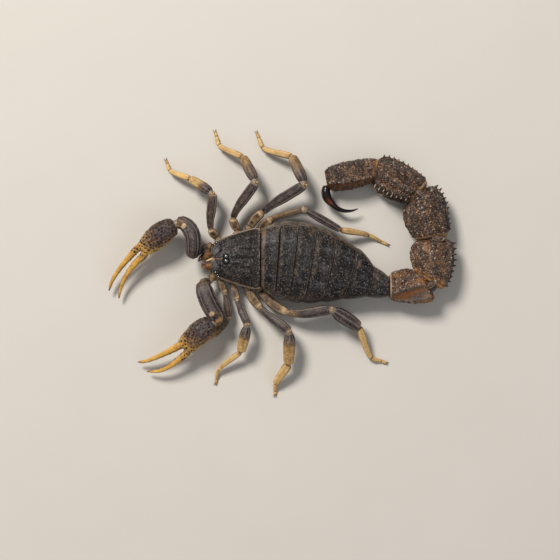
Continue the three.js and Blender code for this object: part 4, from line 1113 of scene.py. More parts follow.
def makeLeg(name, leg):
    side, number = name.split("_")
    outward, number = sideOf[side], int(number)
    ringTone, femurTone, patellaTone, shankTone, footTone = legTones[name]
    size = lambda part: legShape[part] * leg["size"]
    seed = 200 + number * 10 + (side == "left") * 5
    skin = Skin()
    # first segment, ring segment and thigh on one path
    root = [head["midline"] + outward * legShape["rootX"], legShape["rootY"][number - 1], legShape["rootZ"]]
    upper = [root, leg["hip"], leg["thigh"], between(leg["thigh"], leg["knee"], 0, 0.2)[1]]
    sizes = chained(upper, [(coxaProfile, legShape["coxaHalf"][number - 1], 1.1), (ringProfile, size("femur"), 1.05),
                            (femurProfile, size("femur") * leg.get("edge", 1), size("femur"))])
    steps = stepLengths(upper)
    total = sum(steps)
    hip, thigh, gap = steps[0] / total, (steps[0] + steps[1]) / total, legShape["upperGap"] / total
    grid, share, angle, ridge = limb(upper, sizes, (0, hip - gap), seed=seed, **legPieces["coxa"])
    blotch = 0.6 * ramp(lumps(grid, 0.9, seed), 0.05, 0.5)
    skin.add(grid, tone=0.42 + 0.14 * ridge, keel=0.5 * ridge, rim=0.4 * ramp(share, 0.94, 0.99), grain=0.3,
             crease=np.clip(0.4 * bell(angle - 90, 14) + blotch, 0, 1))
    grid, share, angle, ridge = limb(upper, sizes, (hip + gap, thigh - gap), seed=seed + 1, **legPieces["ring"])
    knob = bell(share - 0.85, 0.14) * bell(angle - 100, 40)
    blotch = 0.6 * ramp(lumps(grid, 0.9, seed + 1), 0.05, 0.5) * (1 - ridge)
    groove = 0.6 * ramp(share, 0.14, 0.0) + 0.3 * bell(angle - 90, 16) * bell(share - 0.5, 0.3)
    skin.add(grid, tone=ringTone - 0.06 + 0.12 * ridge, keel=0.4 * ridge, grain=0.3,
             crease=np.clip(groove + blotch, 0, 1),
             rim=np.clip(0.8 * knob * bell(share - 0.9, 0.08) + 0.4 * ramp(share, 0.94, 1), 0, 1))
    grid, share, angle, ridge = limb(upper, sizes, (thigh + gap, 1), seed=seed + 2, **legPieces["thigh"])
    tone = ease(femurTone, share)[..., 0]
    flank = 0.25 * np.maximum(bell(angle - 185, 25), bell(wrapped(angle) - 5, 25))
    # the top face is painted in the keel colour, a painted sheen
    face = bell(angle - 90, 24) * ramp(share, 0.06, 0.25) * ramp(tone, 0.4, 0.2)
    # the rear keel is painted palest, partly its own colour and partly a painted highlight, and has a dark furrow on
    # each side
    along = ramp(share, 0.08, 0.2) * ramp(share, 0.95, 0.85)
    rearKeelHighlight = bell(angle - (90 + 42 * outward), 6) * along
    furrows = bell(np.abs(angle - 90) - 33, 5)
    furrows = (furrows + bell(angle - (90 + 54 * outward), 5) + bell(angle - (90 + 30 * outward), 5)) * along
    skin.add(grid, tone=tone + 0.04 * ridge + flank,
             keel=np.clip(np.maximum(0.6 * ridge, 0.26 * face) + rearKeelHighlight, 0, 1),
             rim=0.45 * ramp(share, 0.96, 0.99) + 0.26 * rearKeelHighlight, grain=0.3 + 0.5 * ridge, coarse=0.2 * ridge,
             crease=np.clip(0.35 * ramp(share, 0.07, 0.0) + 0.8 * furrows * (1 - rearKeelHighlight), 0, 1))
    # knee segment
    knee = between(leg["knee"], leg["shin"], 0.4, 0.05)
    sizes = scaled(patellaProfile, size("patella") * leg.get("swell", 1), size("patella"))
    grid, share, angle, ridge = limb(knee, sizes, seed=seed + 3, **legPieces["knee"])
    tone = ease(patellaTone, share)[..., 0]
    crease = 0.3 * ramp(share, 0.07, 0.0) + 0.35 * ridge * ramp(tone, 0.3, 0.5) * ramp(share, 0.95, 0.5)
    skin.add(grid, tone=tone + 0.04 * ridge, keel=0.85 * ridge * (1 - ramp(tone, 0.35, 0.65)),
             crease=np.clip(crease, 0, 1),
             spots=leg.get("spots", 0) * ramp(share, 0.3, 0.5) * bell(angle - 90, 60),
             rim=0.4 * ramp(share, 0.95, 0.99),
             grain=(0.25 + 0.4 * ridge) * ramp(tone, 0.7, 0.4))
    # pale hinge spots on both sides of the knee
    before, after = heading(upper[2], leg["knee"]), heading(leg["knee"], leg["shin"])
    kneeUp = unit(np.array([0, 0, 1.0]) + 0.3 * (before - after))
    kneeSide = unit(np.cross(before + after, kneeUp))
    for sign in (1, -1):
        place = leg["knee"] - before * 0.18 + after * 0.1 + (kneeUp * 0.48 + kneeSide * sign * 0.26) * size("patella")
        skin.add(ballGrid(place, (0.3, 0.3, 0.26), 12, 16, kneeUp)[0], tone=0.62, rim=0.35)
    # shank, foot and toe on one path
    heel = np.array(leg["ankle"]) * 0.38 + np.array(leg["toe"]) * 0.62
    heel[2] = legShape["footHeight"]
    lower = [between(leg["shin"], leg["ankle"], 0.12, 0)[0], leg["ankle"], heel, leg["toe"]]
    sizes = chained(lower, [(shankProfile, size("tibia") * leg.get("shank", 1), size("tibia")),
                            (footProfile, size("tarsus"), size("tarsus")),
                            (toeProfile, size("tarsus"), size("tarsus"))])
    steps = stepLengths(lower)
    total = sum(steps)
    ankle, sole, gap = steps[0] / total, (steps[0] + steps[1]) / total, legShape["lowerGap"] / total
    grid, share, angle, ridge = limb(lower, sizes, (0, ankle - gap), seed=seed + 4, **legPieces["shank"])
    # the underside of the shank is painted darker, a painted shade
    shadedUnderside = bell(wrapped(angle - 250), 70)
    skin.add(grid, tone=shankTone - 0.2 * ramp(share, 0.12, 0.0) - 0.22 * shadedUnderside + 0.1 * ridge, rim=0.3 * ridge,
             crease=0.3 * ramp(share, 0.05, 0.0))
    for piece, span, k, tone, tip in (("foot", (ankle + gap, sole - gap), 5, footTone, 0.0),
                                      ("toe", (sole + gap, 1 - 0.25 / total), 6, footTone - 0.05, 0.2)):
        grid, share, _, _ = limb(lower, sizes, span, seed=seed + k, **legPieces[piece])
        skin.add(grid, tone=tone, tip=tip * ramp(share, 0.6, 1), crease=0.25 * ramp(share, 0.08, 0.0))
    # two claws at the end and two spurs at the ankle
    places, tangents, _ = smoothPath(lower, [1 - 0.4 / total])
    ahead = unit(tangents[0] * [1, 1, 0])
    aside = np.cross(ahead, [0, 0, 1])
    for sign in (1, -1):
        start = places[0] + aside * sign * 0.09 * leg["size"]
        start[2] = 0.34
        claw = [start, start + ahead * 0.42 + aside * sign * 0.16 + [0, 0, 0.1],
                start + ahead * 0.8 + aside * sign * 0.24 + [0, 0, -0.22]]
        addThorn(skin, claw, clawProfile, 0.6, (0.2, 0.7), rings=16, sides=12, cap=(0.05, 0.04))
    for sign in (1, -1):
        start = np.array(leg["ankle"]) + aside * sign * 0.25 * leg["size"] - [0, 0, 0.1]
        spur = [start, start + ahead * 0.35 + aside * sign * 0.3 - [0, 0, 0.35]]
        addThorn(skin, spur, spurProfile, 0.55, (0.3, 0.9), rings=8, sides=8, cap=(0.03, 0.02))
    # soft skin at the joints
    places, tangents, _ = smoothPath(upper, [hip, thigh, 1.0])
    for place, tangent, half in zip(places[:2], tangents[:2], (0.72, 0.7)):
        addJoint([place - tangent * 0.55, place + tangent * 0.55], half, half * 0.9, 0.7, rings=10, sides=20)
    kneeward, half = heading(*knee), size("patella") * 0.62
    start, end = places[2] - tangents[2] * 0.5, knee[0] + kneeward * 0.6
    addJoint([start, (start + end) / 2 + [0, 0, 0.12], end], half, half, 0.66, (1.08, 1.0), rings=16, sides=22)
    half = size("tibia") * 0.62
    shin = [knee[1] - kneeward * 0.5, leg["shin"], lower[0] + heading(lower[0], leg["ankle"]) * 0.5]
    addJoint(shin, half, half, 0.85, rings=16, sides=20)
    for place, tangent in zip(*smoothPath(lower, [ankle, sole])[:2]):
        half = size("tarsus") * 0.68
        addJoint([place - tangent * 0.3, place + tangent * 0.3], half, half, 0.85, cap=0.08, rings=8, sides=16,
                 flatFeet=True)
    nodes = [f"leg_{name}_{part}" for part in ("femur", "patella", "tarsus")]
    limbPieces.append(skin.build(f"leg{side.capitalize()}{number}", finishes["limb"], "amber", *nodes))


jointSkin, limbPieces = Skin(), []
for legName, legSizes in legs.items():
    makeLeg(legName, legSizes)
print("legs made")

# ---- pincers
# paintedSheen is the strength of the painted sheen on the top face of each elbow and hand
arms = {
    "right": {"coxa": [[-2.7, -16.1, 3.3], [-3.7, -17.1, 3.45], [-4.3, -18.4, 4.0]],
              "femur": [[-4.0, -19.2, 4.4], [-2.2, -21.4, 4.5]],
              "patella": [[-1.0, -22.0, 6.5], [-3.8, -21.6, 7.2], [-7.3, -22.0, 7.1], [-9.6, -23.9, 6.6],
                          [-9.8, -25.8, 6.25]],
              "hand": [[-9.3, -25.9, 6.2], [-8.2, -28.1, 6.15], [-6.6, -30.4, 5.9], [-4.8, -32.5, 5.5],
                       [-2.7, -34.5, 5.05]],
              "fixed": [[-1.7, -34.2, 5.0], [0.3, -36.3, 4.4], [3.3, -38.6, 3.6], [6.3, -40.0, 2.8],
                        [9.0, -40.6, 2.2]],
              "moving": [[-3.6, -35.5, 5.0], [-1.3, -37.8, 4.4], [1.6, -40.3, 3.6], [4.7, -42.3, 2.8],
                         [7.1, -43.1, 2.2]],
              "inner": 180, "end": 1.0, "elbow": 0.84, "knob": 1.1, "knobAt": [0.775, 108], "paintedSheen": 0.28},
    "left": {"coxa": [[0.9, -16.1, 3.3], [2.8, -16.7, 3.6], [4.5, -17.3, 4.1]],
             "femur": [[4.9, -17.7, 4.5], [4.9, -19.3, 5.2]],
             "patella": [[4.6, -19.5, 6.6], [8.0, -18.5, 7.4], [11.3, -17.0, 7.3], [14.0, -15.5, 6.7],
                         [15.1, -16.1, 6.4]],
             "hand": [[14.8, -16.6, 6.3], [16.3, -18.7, 6.3], [18.0, -20.7, 6.1], [19.8, -22.6, 5.7],
                      [21.5, -24.2, 5.2]],
             "fixed": [[20.6, -24.9, 5.2], [22.0, -27.5, 4.6], [23.6, -30.9, 3.7], [24.6, -33.4, 3.0],
                       [25.0, -35.8, 2.3]],
             "moving": [[22.4, -23.3, 5.2], [24.2, -25.3, 4.7], [26.1, -28.0, 4.0], [27.2, -30.7, 3.1],
                        [27.3, -33.5, 2.3]],
             "inner": 0, "end": 0.75 / 0.68, "elbow": 0.97, "knob": 0.85, "knobAt": [0.705, 70], "paintedSheen": 0.48},
}
armShape = {"coxa": 1.05, "femur": 1.05, "patella": 2.15, "patellaHigh": 1.75, "hand": 2.95, "handHigh": 2.4,
            "finger": 0.9, "fingerHigh": 0.95}
armPieces = {
    "root": {"rings": 34, "sides": 34, "rough": 0.02},
    "thigh": {"rings": 30, "sides": 34, "keels": (45, 135), "rough": 0.025},
    "elbow": {"rings": 70, "sides": 72, "fullness": 2.1, "keels": (50, 128, 165, 15, 220, 320), "keelHigh": 0.24,
              "keelWide": 6, "hollow": 0.12, "rough": 0.045, "cap": (0.7, 0.5)},
    "hand": {"rings": 96, "sides": 72, "keels": (35, 70, 110, 145), "keelWide": 7, "rough": 0.03, "cap": (0.9, 1.1)},
    "finger": {"rings": 76, "sides": 40, "keels": (60, 120), "keelHigh": 0.03, "rough": 0.014, "cap": (0.3, 0.15)},
}
rootProfile = [[0, 0.75], [0.35, 1], [0.6, 0.82], [0.8, 1], [1, 0.65]]
armProfile = [[0, 0.5], [0.1, 0.78], [0.35, 1], [0.7, 1.02], [0.9, 0.85], [1, 0.55]]
elbowProfile = [[0, 0.52], [0.1, 0.8], [0.3, 1], [0.6, 1.02], [0.8, 0.92], [0.92, 0.8], [1, 0.66]]
palmProfile = [[0, 0.6, 0.6], [0.15, 0.84, 0.85], [0.42, 1, 1], [0.66, 0.93, 0.9], [0.88, 0.74, 0.7], [1, 0.62, 0.56]]
fingerProfile = [[0, 1.15], [0.13, 1.06], [0.3, 0.88], [0.55, 0.67], [0.78, 0.5], [0.93, 0.32], [1, 0.15]]
handTone = [[0, 0.1], [0.25, 0.13], [0.5, 0.25], [0.72, 0.48], [0.9, 0.72], [1, 0.82]]
biting = {"teeth": 28, "from": 0.22, "to": 0.96, "small": (0.18, 0.09), "large": (0.27, 0.13), "every": 5}


def makeArm(side, arm):
    seed = 300 + (side == "left") * 20

    def finished(skin, name, node, look="limb", slot="dark"):
        return skin.build(f"pincer{name}{side.capitalize()}", finishes[look], slot, f"pedipalp_{side}_{node}")

    skin = Skin()
    sizes = scaled(rootProfile, armShape["coxa"], 1.0)
    grid, share, angle, _ = limb(arm["coxa"], sizes, seed=seed, **armPieces["root"])
    skin.add(grid, tone=0.42 + 0.1 * bell(angle - 90, 40), crease=0.6 * bell(share - 0.6, 0.05), grain=0.15,
             rim=0.4 * ramp(share, 0.92, 0.99))
    finished(skin, "Root", "coxa", slot="ochre")
    skin = Skin()
    sizes = scaled(armProfile, armShape["femur"], armShape["femur"])
    grid, share, _, ridge = limb(arm["femur"], sizes, seed=seed + 1, **armPieces["thigh"])
    skin.add(grid, tone=0.12 + 0.3 * ramp(share, 0.3, 0.0), keel=0.5 * ridge, grain=0.3,
             rim=0.4 * ramp(share, 0.93, 0.99))
    limbPieces.append(finished(skin, "Thigh", "femur"))
    skin = Skin()
    sizes = scaled(elbowProfile, armShape["patella"] * arm["elbow"], armShape["patellaHigh"])
    grid, share, angle, ridge = limb(arm["patella"], sizes, seed=seed + 2, **armPieces["elbow"])
    # a pale knuckle near the end, a browner patch round it, a painted sheen on the top face and furrows beside it
    at, turn = arm["knobAt"]
    knuckle = bell(np.hypot((share - at) / 0.06, (angle - turn) / 26) / arm["knob"], 1)
    grid = grid + unit(grid - grid.mean(1, keepdims=True)) * (0.22 * knuckle)[..., None]
    lowEdge = bell(angle - arm["inner"], 40) + bell(angle - arm["inner"] - 360, 40)
    halo = bell(np.hypot((share - 0.87) / 0.13, (angle - 100) / 60), 1)
    halo = halo + 0.5 * bell(np.hypot((share - 0.05) / 0.1, (angle - 100) / 70), 1)
    face = bell(angle - 89, 26) * ramp(share, 0.06, 0.2) * ramp(share, 0.78, 0.66)
    furrows = (bell(angle - 60, 4) + bell(angle - 118, 4)) * ramp(share, 0.06, 0.16) * ramp(share, 0.92, 0.8)
    keel = np.maximum(0.9 * ridge * ramp(share, 0.05, 0.2) * ramp(share, 0.95, 0.8), arm["paintedSheen"] * face)
    skin.add(grid, tone=0.1 + 0.12 * ramp(share, 0.75, 1.0) + 0.1 * lowEdge + 0.28 * halo * (1 + lumps(grid, 0.6, 4)),
             keel=np.clip(keel, 0, 1),
             rim=np.clip(0.6 * ramp(knuckle, 0.35, 0.6) + 0.4 * ramp(share, 0.97, 1.0), 0, 1),
             grain=0.4 + 0.4 * ridge, coarse=0.4 * ridge,
             crease=np.clip(0.4 * ramp(share, 0.05, 0.0) + 0.8 * furrows, 0, 1))
    limbPieces.append(finished(skin, "Elbow", "patella"))
    # the hand, then two fingers that are rooted in its end
    skin, finger = Skin(), Skin()
    palm = [[at, half if at < 0.8 else half * arm["end"], high] for at, half, high in palmProfile]
    sizes = scaled(palm, armShape["hand"], armShape["handHigh"])
    grid, share, angle, ridge = limb(arm["hand"], sizes, seed=seed + 3, **armPieces["hand"])
    lowEdge, upper = bell(angle - 180, 38), bell(angle - 90, 78)
    # the top face of the hand takes a painted sheen
    face = bell(angle - 90, 34) * ramp(share, 0.6, 0.3)
    skin.add(grid, tone=ease(handTone, share)[..., 0] + 0.45 * lowEdge + 0.2 * (1 - upper), grain=0.35,
             keel=np.maximum(0.3 * ridge, arm["paintedSheen"] * face), rim=0.25 * ramp(share, 0.03, 0.0),
             dots=np.clip(upper * 1.3 * ramp(share, 0.03, 0.1) * (1 - 0.5 * lowEdge), 0, 1))
    for path, to, sign in ((arm["fixed"], skin, 1), (arm["moving"], finger, -1)):
        sign = sign * sideOf[side] * -1
        rooted = [np.array(arm["hand"][3]) * 0.55 + np.array(path[0]) * 0.45] + path
        sizes = scaled(fingerProfile, armShape["finger"], armShape["fingerHigh"])
        grid, share, angle, _ = limb(rooted, sizes, seed=seed + 4 - sign, **armPieces["finger"])
        biteSide = bell(wrapped(angle - (0 if sign > 0 else 180)), 26) * ramp(share, 0.16, 0.24)
        to.add(grid, tone=np.clip(0.84 - 0.5 * biteSide - 0.16 * ramp(share, 0.3, 0.1), 0, 1), crease=0.5 * biteSide,
               tip=0.85 * ramp(share, 0.9, 1.0), dots=0.8 * bell(angle - 90, 75) * ramp(share, 0.28, 0.18))
        for k, at in enumerate(np.linspace(biting["from"], biting["to"], biting["teeth"])):
            place, tangent, _ = smoothPath(rooted, [at])
            across = unit(np.cross(tangent[0], [0, 0, 1])) * sign
            tall, wide = biting["small"] if k % biting["every"] else biting["large"]
            addTooth(place[0] + across * ease(sizes, [at])[0, 0] * 0.93, across, tall, wide, 0.0, 0.0, (0.96, at))
    limbPieces.append(finished(skin, "Hand", "hand", "hand"))
    limbPieces.append(finished(finger, "Finger", "finger", "hand", "amber"))
    for first, second, half in (("coxa", "femur", 0.62), ("femur", "patella", 0.72), ("patella", "hand", 1.05)):
        start, end = np.array(arm[first][-1], float), np.array(arm[second][0], float)
        before, after = heading(*arm[first][-2:]), heading(*arm[second][:2])
        addJoint([start - before * 0.7, (start + end) / 2, end + after * 0.8], half, half, 0.66, (1.05, 1.05),
                 rings=22, sides=28)


for armSide, armSizes in arms.items():
    makeArm(armSide, armSizes)
jointSkin.build("limbJointSkin", finishes["membrane"], "ochre")
print("pincers made")

# ---- granules and teeth, placed by Geometry Nodes
def newTree(name, inputs):
    # a group with named inputs, its start and end, and a function that adds a node with its settings and links
    tree = bpy.data.node_groups.new(name, "GeometryNodeTree")
    for way in ("INPUT", "OUTPUT"):
        tree.interface.new_socket(name="Geometry", in_out=way, socket_type="NodeSocketGeometry")
    keys = {label: tree.interface.new_socket(name=label, in_out="INPUT", socket_type="NodeSocket" + kind).identifier
            for label, kind in inputs.items()}
    start, end = tree.nodes.new("NodeGroupInput"), tree.nodes.new("NodeGroupOutput")

    def make(kind, settings=None, links=None):
        node = tree.nodes.new(kind)
        for key, value in (settings or {}).items():
            setattr(node, key, value)
        for key, value in (links or {}).items():
            if hasattr(value, "is_output"):
                tree.links.new(value, node.inputs[key])
            else:
                node.inputs[key].default_value = value
        return node

    return tree, keys, start.outputs, end, make


def maths(make, kind, *values):
    return make("ShaderNodeMath", {"operation": kind}, dict(enumerate(values))).outputs[0]


def namedValue(make, name, kind="FLOAT"):
    return make("GeometryNodeInputNamedAttribute", {"data_type": kind}, {"Name": name}).outputs["Attribute"]


def stored(make, geometry, name, value, kind="FLOAT"):
    made = make("GeometryNodeStoreNamedAttribute", {"data_type": kind, "domain": "POINT"},
                {"Geometry": geometry, "Name": name, "Value": value})
    return made.outputs["Geometry"]


def planted(tree, make, end, points, form, rotation, scale, finish):
    # sets the form on every point, makes it real and gives it its finish
    leaf = stored(make, form.outputs["Mesh"], "leaf", make("GeometryNodeInputPosition").outputs[0], "FLOAT_VECTOR")
    placed = make("GeometryNodeInstanceOnPoints", None,
                  {"Points": points, "Instance": leaf, "Rotation": rotation, "Scale": scale.outputs[0]})
    real = make("GeometryNodeRealizeInstances", None, {"Geometry": placed.outputs["Instances"]})
    smooth = make("GeometryNodeSetShadeSmooth", None, {"Geometry": real.outputs["Geometry"]})
    final = make("GeometryNodeSetMaterial", None, {"Geometry": smooth.outputs["Geometry"], "Material": finish})
    tree.links.new(final.outputs["Geometry"], end.inputs["Geometry"])


def granuleTree():
    tree, keys, given, end, make = newTree("granules", {"Mask": "String", "Spacing": "Float", "Radius": "Float",
                                                        "Flatness": "Float", "Seed": "Int", "Finish": "Material"})
    density = maths(make, "DIVIDE", 2.8, maths(make, "MULTIPLY", given["Spacing"], given["Spacing"]))
    points = make("GeometryNodeDistributePointsOnFaces", {"distribute_method": "POISSON"},
                  {"Mesh": given["Geometry"], "Distance Min": given["Spacing"], "Density Max": density,
                   "Density Factor": namedValue(make, given["Mask"]), "Seed": given["Seed"]})
    luck = make("FunctionNodeRandomValue", {"data_type": "FLOAT"}, {2: 0.0, 3: 1.0, "Seed": 77})
    lucky = stored(make, points.outputs["Points"], "luck", luck.outputs[1])
    ball = make("GeometryNodeMeshIcoSphere", None, {"Radius": given["Radius"], "Subdivisions": 1})
    chance = make("FunctionNodeRandomValue", {"data_type": "FLOAT"}, {2: 0.55, 3: 1.25, "Seed": given["Seed"]})
    grown = maths(make, "MULTIPLY_ADD", namedValue(make, "coarse"), 0.55, 1.0)
    size = maths(make, "MULTIPLY", chance.outputs[1], grown)
    flat = maths(make, "MULTIPLY", size, given["Flatness"])
    scale = make("ShaderNodeCombineXYZ", None, {"X": size, "Y": size, "Z": flat})
    planted(tree, make, end, lucky, ball, points.outputs["Rotation"], scale, given["Finish"])
    return tree, keys


def toothTree():
    tree, keys, given, end, make = newTree("crestTeeth", {"Sides": "Int", "Point": "Float", "Finish": "Material"})
    cone = make("GeometryNodeMeshCone", {"fill_type": "TRIANGLE_FAN"},
                {"Vertices": given["Sides"], "Side Segments": 3, "Radius Top": given["Point"], "Radius Bottom": 1.0,
                 "Depth": 1.0})
    turned = make("FunctionNodeAlignRotationToVector", {"axis": "Z"},
                  {"Vector": namedValue(make, "aim", "FLOAT_VECTOR")})
    wide, tall = namedValue(make, "wide"), namedValue(make, "tall")
    scale = make("ShaderNodeCombineXYZ", None, {"X": wide, "Y": wide, "Z": tall})
    planted(tree, make, end, given["Geometry"], cone, turned.outputs[0], scale, given["Finish"])
    return tree, keys


def readVectors(mesh, name, width):
    values = np.zeros(len(mesh.vertices) * width, np.float32)
    mesh.attributes[name].data.foreach_get("vector", values)
    return values.reshape(-1, width)


def grow(name, tree, keys, mesh, values, material, slot):
    # runs a tree on a mesh, keeps the plain result and lays each small form on its own patch of the skin's unwrap
    host = bpy.data.objects.new(name + "Host", mesh)
    bpy.context.scene.collection.objects.link(host)
    modifier = host.modifiers.new("grown", "NODES")
    modifier.node_group = tree
    for label, value in values.items():
        modifier[keys[label]] = value
    modifier[keys["Finish"]] = material
    graph = bpy.context.evaluated_depsgraph_get()
    made = bpy.data.meshes.new_from_object(host.evaluated_get(graph), preserve_all_data_layers=True, depsgraph=graph)
    host.modifiers.clear()
    bpy.data.objects.remove(host)
    made.name = name
    while len(made.materials) > 1:
        made.materials.pop(index=0)
    made.polygons.foreach_set("material_index", np.zeros(len(made.polygons), np.int32))
    leaf, root = readVectors(made, "leaf", 3), readVectors(made, "skinUv", 2)
    leaf = leaf / np.maximum(np.abs(leaf).max(0), 1e-9)
    polar = np.arccos(np.clip(leaf[:, 2] / np.maximum(np.linalg.norm(leaf, axis=1), 1e-9), -1, 1)) / np.pi
    turn = np.arctan2(leaf[:, 1], leaf[:, 0])
    patch = root + 0.0015 * np.stack([np.cos(turn), np.sin(turn)], -1) * polar[:, None]
    loops = np.zeros(len(made.loops), np.int32)
    made.loops.foreach_get("vertex_index", loops)
    for layer in list(made.uv_layers):
        made.uv_layers.remove(layer)
    spread = np.clip(patch, 0, 1)[loops].reshape(-1).astype(np.float32)
    made.uv_layers.new(name="OFBake").data.foreach_set("uv", spread)
    print(name, len(made.polygons), "faces")
    place3d(name, made, material, slot)


granules = {
    "head": {"Mask": "grain", "Spacing": 0.25 * mm, "Radius": 0.13 * mm, "Flatness": 0.6, "Seed": 3},
    "trunk": {"Mask": "grain", "Spacing": 0.29 * mm, "Radius": 0.125 * mm, "Flatness": 0.5, "Seed": 4},
    "tail": {"Mask": "grain", "Spacing": 0.46 * mm, "Radius": 0.215 * mm, "Flatness": 0.75, "Seed": 5},
    "limbs": {"Mask": "grain", "Spacing": 0.3 * mm, "Radius": 0.085 * mm, "Flatness": 0.5, "Seed": 6},
    "dots": {"Mask": "dots", "Spacing": 0.7 * mm, "Radius": 0.3 * mm, "Flatness": 0.35, "Seed": 7},
}
grainLooks = {
    "slate": {"stops": [(0.0, (0.008, 0.0075, 0.008)), (0.5, (0.038, 0.033, 0.032)), (1.0, (0.13, 0.095, 0.07))],
              "pale": (0.20, 0.18, 0.165), "paleShare": 0.6},
    "tail": {"stops": [(0.0, (0.014, 0.011, 0.012)), (0.4, (0.070, 0.052, 0.045)), (0.75, (0.165, 0.118, 0.092)),
                       (1.0, (0.36, 0.19, 0.08))],
             "pale": (0.40, 0.30, 0.22), "paleShare": 0.6},
    "limb": {"stops": limbLook["stops"], "pale": (0.22, 0.17, 0.14), "paleShare": 0.8},
    "dots": {"stops": [(0.0, (0.010, 0.008, 0.009)), (1.0, (0.022, 0.015, 0.014))], "pale": (0.03, 0.02, 0.02),
             "paleShare": 0.5},
}
toothLook = {"stops": [(0.0, (0.018, 0.014, 0.014)), (0.5, (0.12, 0.06, 0.025)), (1.0, (0.3, 0.14, 0.04))],
             "pale": (0.50, 0.39, 0.30), "sides": 8, "point": 0.25}


def joined(name, pieces):
    # one mesh with the points and masks of several pieces, for the trees only
    copies = []
    for piece in pieces:
        copy = bpy.data.objects.new(name, piece.data.copy())
        bpy.context.scene.collection.objects.link(copy)
        copies.append(copy)
    side = math.ceil(math.sqrt(len(copies)))
    for k, copy in enumerate(copies):
        uvs = np.zeros(len(copy.data.loops) * 2, np.float32)
        layer = copy.data.uv_layers["skinUv"].data
        layer.foreach_get("uv", uvs)
        uvs = uvs.reshape(-1, 2) / side + np.array([k % side, k // side]) / side
        layer.foreach_set("uv", uvs.reshape(-1).astype(np.float32))
    with bpy.context.temp_override(active_object=copies[0], selected_editable_objects=copies,
                                   selected_objects=copies):
        bpy.ops.object.join()
    mesh = copies[0].data
    bpy.data.objects.remove(copies[0])
    return mesh


def granuleFinish(name, look):
    material, wire, place = newFinish(name)
    broad, fine, luck = wire.cloud(place, 1.2), wire.cloud(place, 0.3, 2), wire.mask("luck")
    tone = (wire.mask("tone") + (luck - 0.45) * 0.7 + (fine - 0.5) * 0.4 + (broad - 0.5) * 0.5).clamp()
    colour = wire.mix(wire.mask("crease"), wire.ramp(tone, look["stops"]), (0.012, 0.011, 0.012))
    colour = wire.mix(wire.band(luck, 0.72, 0.98) * look["paleShare"], colour, look["pale"])
    close(wire, colour, 0.52 + (fine - 0.5) * 0.2, fine, 0.02, 0.4, Specular_IOR_Level=0.28)
    return material


def toothFinish():
    material, wire, place = newFinish("crestTeeth")
    fine = wire.cloud(place, 0.3, 2)
    leaf = wire.node("ShaderNodeAttribute", {"attribute_name": "leaf"}, None, "Vector")
    height = wire.node("ShaderNodeSeparateXYZ", None, {"Vector": leaf}, 2)
    colour = wire.ramp((wire.mask("tone") + (fine - 0.5) * 0.3).clamp(), toothLook["stops"])
    colour = wire.mix((wire.mask("pale") * wire.band(height, 0.1, 0.85)).clamp(), colour, toothLook["pale"])
    close(wire, colour, 0.35 + fine * 0.15, fine, 0.02, 0.4)
    return material


def toothPoints():
    mesh = bpy.data.meshes.new("toothPoints")
    mesh.from_pydata((np.array(teeth["places"]) * mm).tolist(), [], [])
    for key in ("tall", "wide"):
        writePoints(mesh, key, np.array(teeth[key]) * mm)
    for key in ("tone", "pale"):
        writePoints(mesh, key, teeth[key])
    writePoints(mesh, "aim", teeth["aim"], "FLOAT_VECTOR")
    writePoints(mesh, "skinUv", teeth["root"], "FLOAT2")
    return mesh


def makeScatter():
    tree, keys = granuleTree()
    grain = {key: granuleFinish(name, grainLooks[key]) for key, name in (
        ("slate", "slateGranules"), ("tail", "tailGranules"), ("limb", "limbGranules"), ("dots", "darkDots"))}
    for name, mesh, kind, look, slot in (
            ("headGranules", headShield.data, "head", "slate", "back"),
            ("trunkGranules", joined("trunkPart", trunkPieces), "trunk", "slate", "back"),
            ("tailGranulesFront", joined("tailFront", tailPieces[:2]), "tail", "tail", "tail"),
            ("tailGranulesRear", joined("tailRear", tailPieces[2:]), "tail", "tail", "tail"),
            ("limbGranules", joined("limbPart", limbPieces), "limbs", "limb", "dark"),
            ("darkDots", joined("dottedPart", limbPieces), "dots", "dots", "dark")):
        grow(name, tree, keys, mesh, granules[kind], grain[look], slot)
    tree, keys = toothTree()
    grow("crestTeeth", tree, keys, toothPoints(), {"Sides": toothLook["sides"], "Point": toothLook["point"]},
         toothFinish(), "tail")


makeScatter()
print("granules and teeth made")

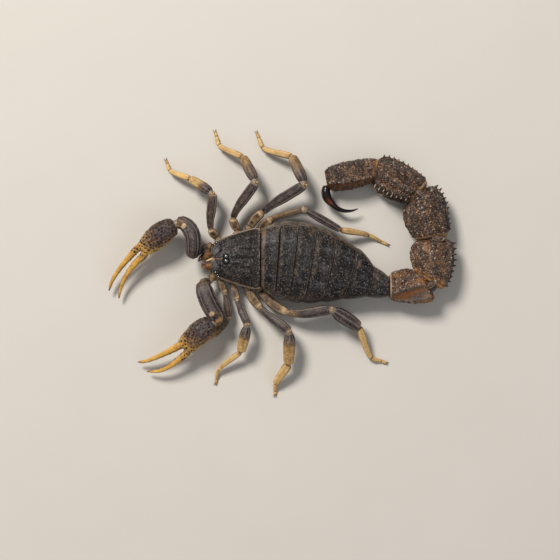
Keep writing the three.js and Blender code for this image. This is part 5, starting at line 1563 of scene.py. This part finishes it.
# ---- floor, light and camera
view = {"centre": (4.375, -0.125), "wide": 140, "plane": 4.0, "lens": 100, "sensor": 36}
lamps = {
    # a warm key from the upper left of the view, and a cool broad fill
    "keyLight": {"at": (-0.42, -0.30, 0.62), "size": 0.24, "energy": 8.0, "colour": (1.0, 0.95, 0.88)},
    "fillLight": {"at": (0.35, 0.45, 0.6), "size": 0.7, "energy": 1.2, "colour": (0.86, 0.92, 1.0)},
}
room = {"floor": 2.4, "floorPale": (0.51, 0.485, 0.45), "floorPaler": (0.55, 0.525, 0.49), "sky": (1.0, 0.98, 0.95),
        "skyStrength": 0.30}


def makeStage():
    bpy.ops.mesh.primitive_plane_add(size=room["floor"])
    floor = bpy.context.object
    floor.name = "paleFloor"
    material, wire, place = newFinish("paleFloor")
    grain = wire.cloud(place, 30, 3)
    close(wire, wire.mix(grain, room["floorPale"], room["floorPaler"]), 0.8 + grain * 0.1, grain, 0.01, 0.1)
    floor.data.materials.append(material)
    scene = bpy.context.scene
    scene.view_settings.view_transform = "Standard"
    world = bpy.data.worlds.new("paleRoom")
    world.use_nodes = True
    sky = world.node_tree.nodes["Background"].inputs
    sky["Color"].default_value, sky["Strength"].default_value = (*room["sky"], 1), room["skyStrength"]
    scene.world = world
    for name, given in lamps.items():
        lamp = bpy.data.lights.new(name, "AREA")
        lamp.shape, lamp.size, lamp.energy, lamp.color = "DISK", given["size"], given["energy"], given["colour"]
        body = bpy.data.objects.new(name, lamp)
        body.location = given["at"]
        # every lamp looks at the middle of the floor
        x, y, z = given["at"]
        body.rotation_euler = (math.atan2(math.hypot(x, y), z), 0, math.atan2(-y, -x) - math.pi / 2)
        scene.collection.objects.link(body)
    camera = bpy.data.cameras.new("viewCamera")
    camera.lens, camera.sensor_width, camera.clip_start, camera.clip_end = view["lens"], view["sensor"], 0.01, 10
    body = bpy.data.objects.new("viewCamera", camera)
    distance = view["wide"] * view["lens"] / view["sensor"]
    body.location = (view["centre"][0] * mm, view["centre"][1] * mm, (distance + view["plane"]) * mm)
    body.rotation_euler = (0, 0, math.pi / 2)
    scene.collection.objects.link(body)
    scene.camera = body


makeStage()
print("stage made")
